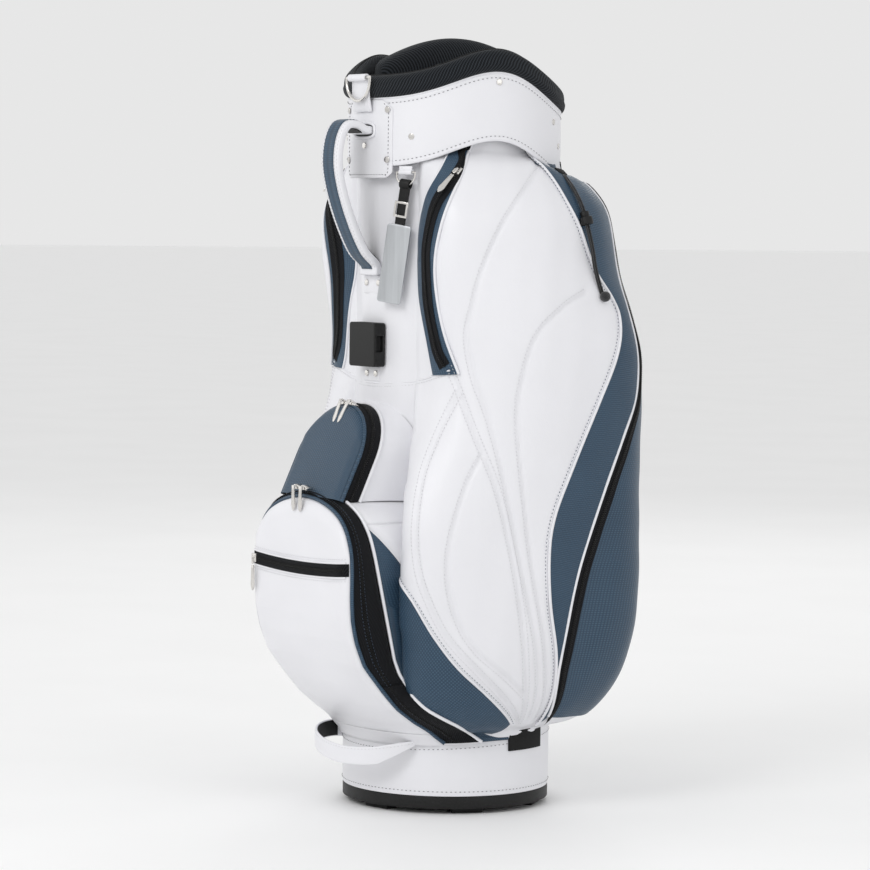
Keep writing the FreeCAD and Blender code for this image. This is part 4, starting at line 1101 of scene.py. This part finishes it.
dome = cloth("dome_pocket_face", 60, 70, dome_face, (0.124, 0.12), NAVY, "bag",
             ["valuables_pocket"])
dx, dz = dome_line(DOME_RADIUS)
dome_edge = in_dome(dx, dz, np.full(len(dx), -0.0055))
tube("dome_piping", dome_edge, 0.0021, NAVY_PLAIN, "bag")
dome_back = []
for point in dome_edge:
    hit = skin_tree.ray_cast(Vector(point), Vector((0, 1, 0)))[0]
    far = -math.sqrt(max(0.0, 0.1075 ** 2 - point[0] ** 2)) if hit is None else hit.y
    dome_back.append((point[0] * 1.03, max(far, point[1] + 0.004), point[2] + 0.001))
dome_back = np.array(dome_back)
for _ in range(4):
    dome_back[1:-1] = (dome_back[:-2] + 2 * dome_back[1:-1] + dome_back[2:]) / 4
arch_centre = np.array((0, -0.14, 0.40))
dome_mid = dome_edge + np.stack([0 * dx, np.minimum(0.023, dome_back[:, 1] - dome_edge[:, 1] - 0.002),
                                 0 * dx], axis=1)
dome_mid += outward(dome_edge) * 0.0012
ribbon("dome_gusset", dome_edge, dome_mid, 8, 0.0010, TAPE, "bag", width=0.03)
dome_zip = dome_edge * 0.55 + dome_mid * 0.45 + outward(dome_edge) * 0.0016
note_teeth(dome_zip, outward(dome_zip), "bag", mirror=False)
tube("dome_outer_piping", dome_mid + outward(dome_mid) * 0.0008, 0.0019, WHITE, "bag")
flared = dome_back + outward(dome_back) * 0.006
ribbon("dome_wall", dome_mid, flared, 8, -0.0016, WHITE, "bag", width=0.03)


# %% [markdown]
# ## Collar, cuff and dividers
# The collar is a band of white leather stretched over the moulded top ring. Above it sits a
# soft cuff of black mesh over foam, and padded bars part the mouth into six club ways. Foam
# under stretched mesh stays almost round, so each pad is a sheet closed round its section.


# %% Rings round the bag's mouth
def ring_sheet(name, columns, section, place, size, finish, replaces, body="bag"):
    """A sheet that closes on itself round the bag and round its own section."""
    return cloth(name, columns, section, place, size, finish, body, replaces,
                 join_across=True, join_along=True)


def rounded_box(v, half_wide, half_tall, corner):
    """A point on a rounded rectangle's outline; v runs once round it from the bottom."""
    power = corner
    turn = 2 * np.pi * v - np.pi / 2
    c, s = np.cos(turn), np.sin(turn)
    return (half_wide * np.sign(c) * np.abs(c) ** power, half_tall * np.sign(s) * np.abs(s) ** power)


def collar_place(u, v):
    angle = 360 * u
    across, up = rounded_box(v, 0.0016, 0.038, 0.22)
    middle = rim(angle) - COLLAR_DROP / 2
    puff = 0.0006 * np.cos(np.clip(up / 0.038, -1, 1) * np.pi / 2)
    lip = 0.0007 * np.exp(-((up - 0.0355) / 0.0016) ** 2) + 0.0005 * np.exp(-((up + 0.0355) / 0.0016) ** 2)
    radius = 0.1205 + across + np.where(across > 0, puff + lip, 0)
    return round_the_bag(angle, radius, middle + up)


collar = ring_sheet("leather_collar", 220, 60, collar_place, (0.766, 0.16), WHITE,
                    ["collar"])
turns = np.linspace(0, 360, 220)
for inset in (0.0055, COLLAR_DROP - 0.0055):
    height = rim(turns) - inset
    stitch(round_the_bag(turns, 0.1227, height), round_the_bag(turns, 1.0, 0 * turns), GREY_THREAD, 0.0052,
           mirror=False)


def cuff_place(u, v):
    angle = 360 * u
    across, up = rounded_box(v, 0.0098, 0.0130, 0.72)
    sag = 0.0007 * np.sin(np.radians(angle) * 7) * np.sin(2 * np.pi * v)
    return round_the_bag(angle, 0.1170 + across + sag + 0.0012 * (up < 0), rim(angle) + 0.0134 + up)


cuff = ring_sheet("padded_cuff", 260, 40, cuff_place, (0.76, 0.075), MESH, ["cuff"])
seam_at = round_the_bag(turns, 0.1167, rim(turns) + 0.0264)
tube("cuff_top_welt", seam_at, 0.0012, WEBBING, closed=True)
edge_at = round_the_bag(turns, 0.1218, rim(turns) + 0.0006)
tube("collar_top_binding", edge_at, 0.0014, WHITE, closed=True)


# %% Divider bars
def bar_place(start, stop, half_wide, low, top, ends_round=0.006):
    """A padded bar from one point to another; its top may arch along its length."""
    start, stop = np.array(start), np.array(stop)
    way = (stop - start) / np.linalg.norm(stop - start)
    side = np.array((-way[1], way[0], 0))

    def place(u, v):
        across, up = rounded_box(v, half_wide, 0.5, 0.62)
        share = u
        high = top(share)
        middle, half = (high + low) / 2, (high - low) / 2
        taper = np.clip(np.minimum(share, 1 - share) / 0.04, 0, 1) ** 0.5
        along = start + (stop - start) * share[:, None]
        up = up * 2 * half
        return along + side * (across * (0.55 + 0.45 * taper))[:, None] + np.stack(
            [0 * up, 0 * up, middle + up - (1 - taper) * 0.003], axis=-1)
    return place


def close_ends(piece):
    """Fills a closed tube's two open ends, then lets the faces point outwards."""
    made = bmesh.new()
    made.from_mesh(piece.data)
    bmesh.ops.remove_doubles(made, verts=made.verts, dist=1e-6)
    bmesh.ops.holes_fill(made, edges=[e for e in made.edges if e.is_boundary], sides=0)
    bmesh.ops.recalc_face_normals(made, faces=made.faces)
    made.to_mesh(piece.data)
    made.free()
    return piece


def arched_top(share):
    return 0.848 + 0.0315 * np.sin(np.pi * share) ** 0.9


middle_bar = cloth("padded_middle_bar", 90, 36,
                   bar_place((0, -0.1062, 0), (0, 0.1062, 0), 0.0138, 0.801, arched_top),
                   (0.21, 0.13), MESH, "bag", ["divider_bar"], join_along=True)
close_ends(middle_bar)
for row, y in (("front", -0.034), ("rear", 0.034)):
    for side, hand in (("right", 1), ("left", -1)):
        reach = math.sqrt(0.1068 ** 2 - y * y) - 0.0012
        pad = cloth(f"cross_pad_{row}_{side}", 50, 28,
                    bar_place((hand * 0.0146, y, 0), (hand * reach, y, 0), 0.0078, 0.801,
                              lambda s: 0.8495 - 0.004 * np.sin(np.pi * s)),
                    (0.09, 0.10), MESH, "bag", [f"cross_bar_{row}_{side}"], join_along=True)
        close_ends(pad)

# %% [markdown]
# ## Base band and straps
# A strap is a flat belt swept along a line. Its section is a rounded rectangle, and the
# line is a smooth curve through a few points in the middle plane.

# %% Base band
def band_place(u, v):
    angle = 360 * u
    low, high = 0.0205, band_top(angle)
    across, up = rounded_box(v, 0.0013, 0.5, 0.2)
    puff = 0.0006 * np.cos(up * np.pi)
    return round_the_bag(angle, 0.1179 + across + np.where(across > 0, puff, 0),
                         (low + high) / 2 + up * (high - low))


ring_sheet("base_leather_band", 200, 40, band_place, (0.747, 0.13), WHITE, ["base_band"])
for height in (0.0258, None):
    level = np.full(220, height) if height else band_top(turns) - 0.0055
    stitch(round_the_bag(turns, 0.1199, level), round_the_bag(turns, 1.0, 0 * turns), GREY_THREAD, 0.0052,
           mirror=False)
tube("base_band_binding", round_the_bag(turns, 0.1184, band_top(turns) + 0.0004), 0.0013, WHITE,
     closed=True)


# %% Swept straps
def smooth_line(points, count):
    """A smooth evenly spaced line through points in space."""
    knots = np.array(points, float)
    ends = np.vstack([2 * knots[0] - knots[1], knots, 2 * knots[-1] - knots[-2]])
    fine = []
    for p0, p1, p2, p3 in zip(ends, ends[1:], ends[2:], ends[3:]):
        for t in np.linspace(0, 1, 30, endpoint=False):
            fine.append(0.5 * (2 * p1 + (p2 - p0) * t + (2 * p0 - 5 * p1 + 4 * p2 - p3) * t * t
                               + (3 * p1 - p0 - 3 * p2 + p3) * t ** 3))
    fine = np.array(fine + [knots[-1]])
    gone = np.concatenate([[0], np.cumsum(np.linalg.norm(np.diff(fine, axis=0), axis=1))])
    steps = np.linspace(0, gone[-1], count)
    return np.stack([np.interp(steps, gone, fine[:, k]) for k in range(3)], axis=1)


def strap(name, line, wide, thick, finish, replaces=(), body="bag", corner=0.35, swell=0.0,
          breadth=(1.0, 0.0, 0.0)):
    """A belt along a line; its width runs along the direction given as its breadth."""
    out = np.cross(breadth, np.gradient(line, axis=0))
    out /= np.linalg.norm(out, axis=1, keepdims=True)
    rows = len(line) - 1

    def place(u, v):
        across, up = rounded_box(v, wide / 2, thick / 2, corner)
        k = u * rows
        at = lambda field: np.stack([np.interp(k, np.arange(rows + 1), field[:, i]) for i in range(3)],
                                    axis=1)
        full = 1 + swell * np.sin(np.pi * u)
        return at(line) + at(out) * (up * full)[:, None] + across[:, None] * breadth

    long = float(np.sum(np.linalg.norm(np.diff(line, axis=0), axis=1)))
    piece = cloth(name, rows, 32, place, (long, 2 * (wide + thick)), finish, body, replaces,
                  join_along=True)
    return close_ends(piece), line, out


def mm(points):
    return np.array([(0, y, z) for y, z in points], float) * MM


# The base strap bows forward between two places on the band, standing on edge.
LOOP_ROUTE = ((77.4, -92.3, 74), (76, -107, 72), (67, -127, 69), (50, -146, 66.5), (27, -160, 66.5),
              (0, -165, 70),
              (-27, -160, 75), (-50, -146, 78.5), (-67, -127, 80), (-76, -107, 80), (-77.4, -92.3, 79))
UPRIGHT = (0.0, 0.0, 1.0)
loop_line = smooth_line(np.array(LOOP_ROUTE) * MM, 110)
base_loop, _, loop_out = strap("base_loop", loop_line, 0.020, 0.0030, WHITE, ["base_handle"],
                               breadth=UPRIGHT)
lining_line = loop_line[4:-4] - loop_out[4:-4] * 0.0017
strap("base_loop_lining", lining_line, 0.0178, 0.0008, BLACK_LEATHER, breadth=UPRIGHT)
# Its right end narrows upwards into the seam above the band.
for piece in (base_loop, bpy.data.objects["base_loop_lining"]):
    for vert in piece.data.vertices:
        if vert.co.x > 0:
            share = min(1.0, max(0.0, (vert.co.y + 0.136) / 0.040))
            vert.co.z = 0.0835 - (0.0835 - vert.co.z) * (1 - 0.75 * share)
EDGE_ROW = 0.0078
for height in (EDGE_ROW,):
    row = loop_line[3:-3] + loop_out[3:-3] * 0.0015 + (0, 0, height)
    stitch(row, loop_out[3:-3], WHITE_THREAD, 0.0042, mirror=False)

# %% Carrying handle
HANDLE_ROUTE = ((-123.2, 771), (-132.2, 772), (-143.2, 777), (-156.2, 775), (-164.5, 759), (-167, 733),
                (-161, 703),
                (-148, 668), (-131, 636), (-114.8, 620), (-112.8, 608))
handle_line = smooth_line(mm(HANDLE_ROUTE), 120)
handle, _, handle_out = strap("carrying_handle", handle_line, 0.035, 0.0098, WHITE,
                              ["handle"], corner=0.42)
top_side = 1 if handle_out[60, 1] < 0 else -1
face_line = handle_line[10:-4] + handle_out[10:-4] * (0.0052 * top_side)
strap("handle_navy_strip", face_line, 0.0205, 0.0011, NAVY, corner=0.3)
under_line = handle_line[6:-6] - handle_out[6:-6] * (0.0052 * top_side)
strap("handle_grip_lining", under_line, 0.027, 0.0012, BLACK_LEATHER, corner=0.3)
for x in (-0.0118, 0.0118, -0.0155, 0.0155):
    row = handle_line[8:-6] + handle_out[8:-6] * ((0.0052 if abs(x) < 0.015 else 0.0042) * top_side) + (x,
                                                                                                        0, 0)
    stitch(row, handle_out[8:-6] * top_side, WHITE_THREAD, 0.0042, mirror=False)


# %% Handle tab with its slot
def tab_place(u, v):
    """A leather tab on the collar with rounded lower corners and a sloping top."""
    s = 2 * u - 1
    corner = 1 - np.clip(1 - v / 0.10, 0, 1) ** 2.2 * 0.24
    shoulder = 1 - np.clip((v - 0.86) / 0.14, 0, 1) ** 1.5 * 0.34
    angle = 21.0 * s * corner * shoulder
    level = 0.7172 + (0.8055 - 0.7172) * v
    puff = 0.0008 * (1 - s ** 4) * np.sin(np.pi * v) ** 0.5
    return round_the_bag(angle, 0.1238 + puff, level)


tab = cloth("handle_tab_leather", 50, 50, tab_place, (0.09, 0.09), WHITE, "bag",
            ["handle_tab"])
thicken(tab, 0.0022)
border_v = np.linspace(0.03, 0.97, 60)
border_u = np.concatenate([np.full(60, 0.06), np.linspace(0.06, 0.94, 40), np.full(60, 0.94)])
border_w = np.concatenate([border_v[::-1], np.full(40, 0.045), border_v])
border = tab_place(border_u, border_w)
stitch(border + (border * (1, 1, 0)) * 0.002, border * (1, 1, 0), GREY_THREAD, 0.0044, mirror=False)
slot_turn = np.linspace(0, 2 * np.pi, 60, endpoint=False)
sx = 0.0205 * np.sign(np.cos(slot_turn)) * np.abs(np.cos(slot_turn)) ** 0.6
sz = 0.771 + 0.0085 * np.sign(np.sin(slot_turn)) * np.abs(np.sin(slot_turn)) ** 0.6
slot_ring = np.stack([sx, -np.sqrt(0.1256 ** 2 - sx ** 2), sz], axis=1)
tube("handle_slot_lip", slot_ring, 0.0017, WHITE, closed=True, sides=3)


def slot_fill(u, v):
    x = (u - 0.5) * 0.038
    return np.stack([x, -np.sqrt(0.1252 ** 2 - x ** 2), 0.771 + (v - 0.5) * 0.0150], axis=-1)


cloth("handle_slot_shadow", 20, 8, slot_fill, (0.038, 0.015), BLACK_LEATHER, "bag")

# %% [markdown]
# ## Hardware
# Rivets, rings, sliders, the buckle and the tag are hard parts whose shape is already right
# in the CAD model. Real castings and mouldings never have knife edges, so each but the rings
# is copied, its triangles are merged back into flat faces, and its edges are rounded with a bevel.


# %% Copies with softened edges
def softened(node, width, finish, segments=2, name=None):
    """A copy of a CAD node with merged faces and rounded edges, in place of the node."""
    made = bmesh.new()
    made.from_mesh(nodes[node].data)
    bmesh.ops.remove_doubles(made, verts=made.verts, dist=1e-6)
    bmesh.ops.dissolve_limit(made, angle_limit=math.radians(3), verts=made.verts, edges=made.edges)
    sharp = [e for e in made.edges if len(e.link_faces) == 2 and e.calc_face_angle() > math.radians(35)]
    if width:
        bmesh.ops.bevel(made, geom=sharp, affect="EDGES", offset=width, offset_type="OFFSET",
                        segments=segments,
                        profile=0.5, material=-1, clamp_overlap=True)
    bmesh.ops.triangulate(made, faces=[f for f in made.faces if len(f.verts) > 4])
    body = nodes[node]["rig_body"]
    piece = finish_piece(name or f"{node}_made", made, finish, body, [node])
    for one in piece.data.polygons:
        one.use_smooth = True
    piece.data.set_sharp_from_angle(angle=math.radians(50))
    return piece


ZIPS = ("upper_right", "upper_left", "ball_left", "ball_right", "dome_left", "dome_right", "ball_front")
for one in ZIPS:
    softened(f"zip_slider_{one}", 0.0009, NICKEL)
for one in ("anchor_rivets", "tab_rivets", "buckle_rivets", "collar_snaps", "panel_snaps"):
    softened(one, 0.0005, NICKEL, 3)
softened("tag_buckle", 0.0004, NICKEL)
softened("hood_buckle", 0.0010, PLASTIC, 3)
softened("cord_lock", 0.0004, PLASTIC)
softened("cord_lock_button", 0.0006, PLASTIC)
softened("base_tray", 0.0012, PLASTIC)
softened("cord_tab", 0.0008, WEBBING)
softened("tag_strap", 0.0005, BLACK_LEATHER)
softened("tag_loop", 0.0004, WHITE)
softened("ring_loop", 0.0004, WHITE)
softened("hood_strap", 0.0005, WHITE)
softened("handle_anchor", 0.0005, WHITE)
softened("umbrella_tip_pocket", 0.0006, WEBBING)
softened("name_tag", 0.0005, TAG_METAL)
for node, finish in (("shoulder_ring", NICKEL), ("tag_ring", NICKEL), ("liner_tube", LINING), ("stays", STAY),
                     ("top_frame", PLASTIC), ("club_dividers", LINING), ("cord_knot", CORD)):
    for place in nodes[node].material_slots:
        place.material = finish
    for polygon in nodes[node].data.polygons:
        polygon.use_smooth = polygon.use_smooth
    print(node, "keeps its CAD shape in", finish.name)


# %% Framed zip pulls
def framed_pull(name):
    """A cast pull: a raised frame round a sunk middle, narrowed to a point at its free end."""
    node = f"zip_pull_{name}"
    flat = bmesh.new()
    flat.from_mesh(nodes[node].data)
    bmesh.ops.remove_doubles(flat, verts=flat.verts, dist=1e-6)
    bmesh.ops.dissolve_limit(flat, angle_limit=math.radians(3), verts=flat.verts, edges=flat.edges)
    corners = [v.co.copy() for v in flat.verts]
    flat.free()
    middle = sum(corners, Vector()) / len(corners)
    hinge = next(j for j in frame["joints"] if j["name"] == f"pull_{name}_swing")
    pivot = Vector(hinge["pos_m"])
    wide = Vector(hinge["axis"]).normalized()
    long = (middle - pivot)
    long = (long - wide * long.dot(wide)).normalized()
    thick = wide.cross(long).normalized()
    half_w, half_t, length = 0.0035, 0.0009, 0.0291
    made = bmesh.new()
    outline = [(-0.62, 0.0), (0.62, 0.0), (0.72, 0.22), (1.0, 0.78), (0.55, 0.93), (0.0, 1.0), (-0.55, 0.93),
               (-1.0, 0.78), (-0.72, 0.22)]
    top = [made.verts.new(pivot + wide * (x * half_w) + long * (y * length) + thick * half_t) for x,
           y in outline]
    face = made.faces.new(top)
    bmesh.ops.inset_region(made, faces=[face], thickness=0.00125, use_even_offset=True)
    bmesh.ops.inset_region(made, faces=[face], thickness=0.0002, depth=-0.0007, use_even_offset=True)
    outer_edges = [e for e in made.edges if e.is_boundary]
    grown = bmesh.ops.extrude_edge_only(made, edges=outer_edges)
    moved = [g for g in grown["geom"] if isinstance(g, bmesh.types.BMVert)]
    bmesh.ops.translate(made, verts=moved, vec=thick * (-2 * half_t))
    bmesh.ops.contextual_create(made, geom=[e for e in made.edges if e.is_boundary])
    bmesh.ops.recalc_face_normals(made, faces=made.faces)
    sharp = [e for e in made.edges if len(e.link_faces) == 2 and e.calc_face_angle() > math.radians(40)]
    bmesh.ops.bevel(made, geom=sharp, affect="EDGES", offset=0.00025, offset_type="OFFSET", segments=2,
                    profile=0.5,
                    material=-1, clamp_overlap=True)
    body = nodes[node]["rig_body"]
    piece = finish_piece(f"pull_{name}", made, NICKEL, body, [node])
    piece.data.set_sharp_from_angle(angle=math.radians(40))


for one in ZIPS:
    framed_pull(one)

# %% Stitches and zip teeth, all rows together
make_stitches()
make_teeth()
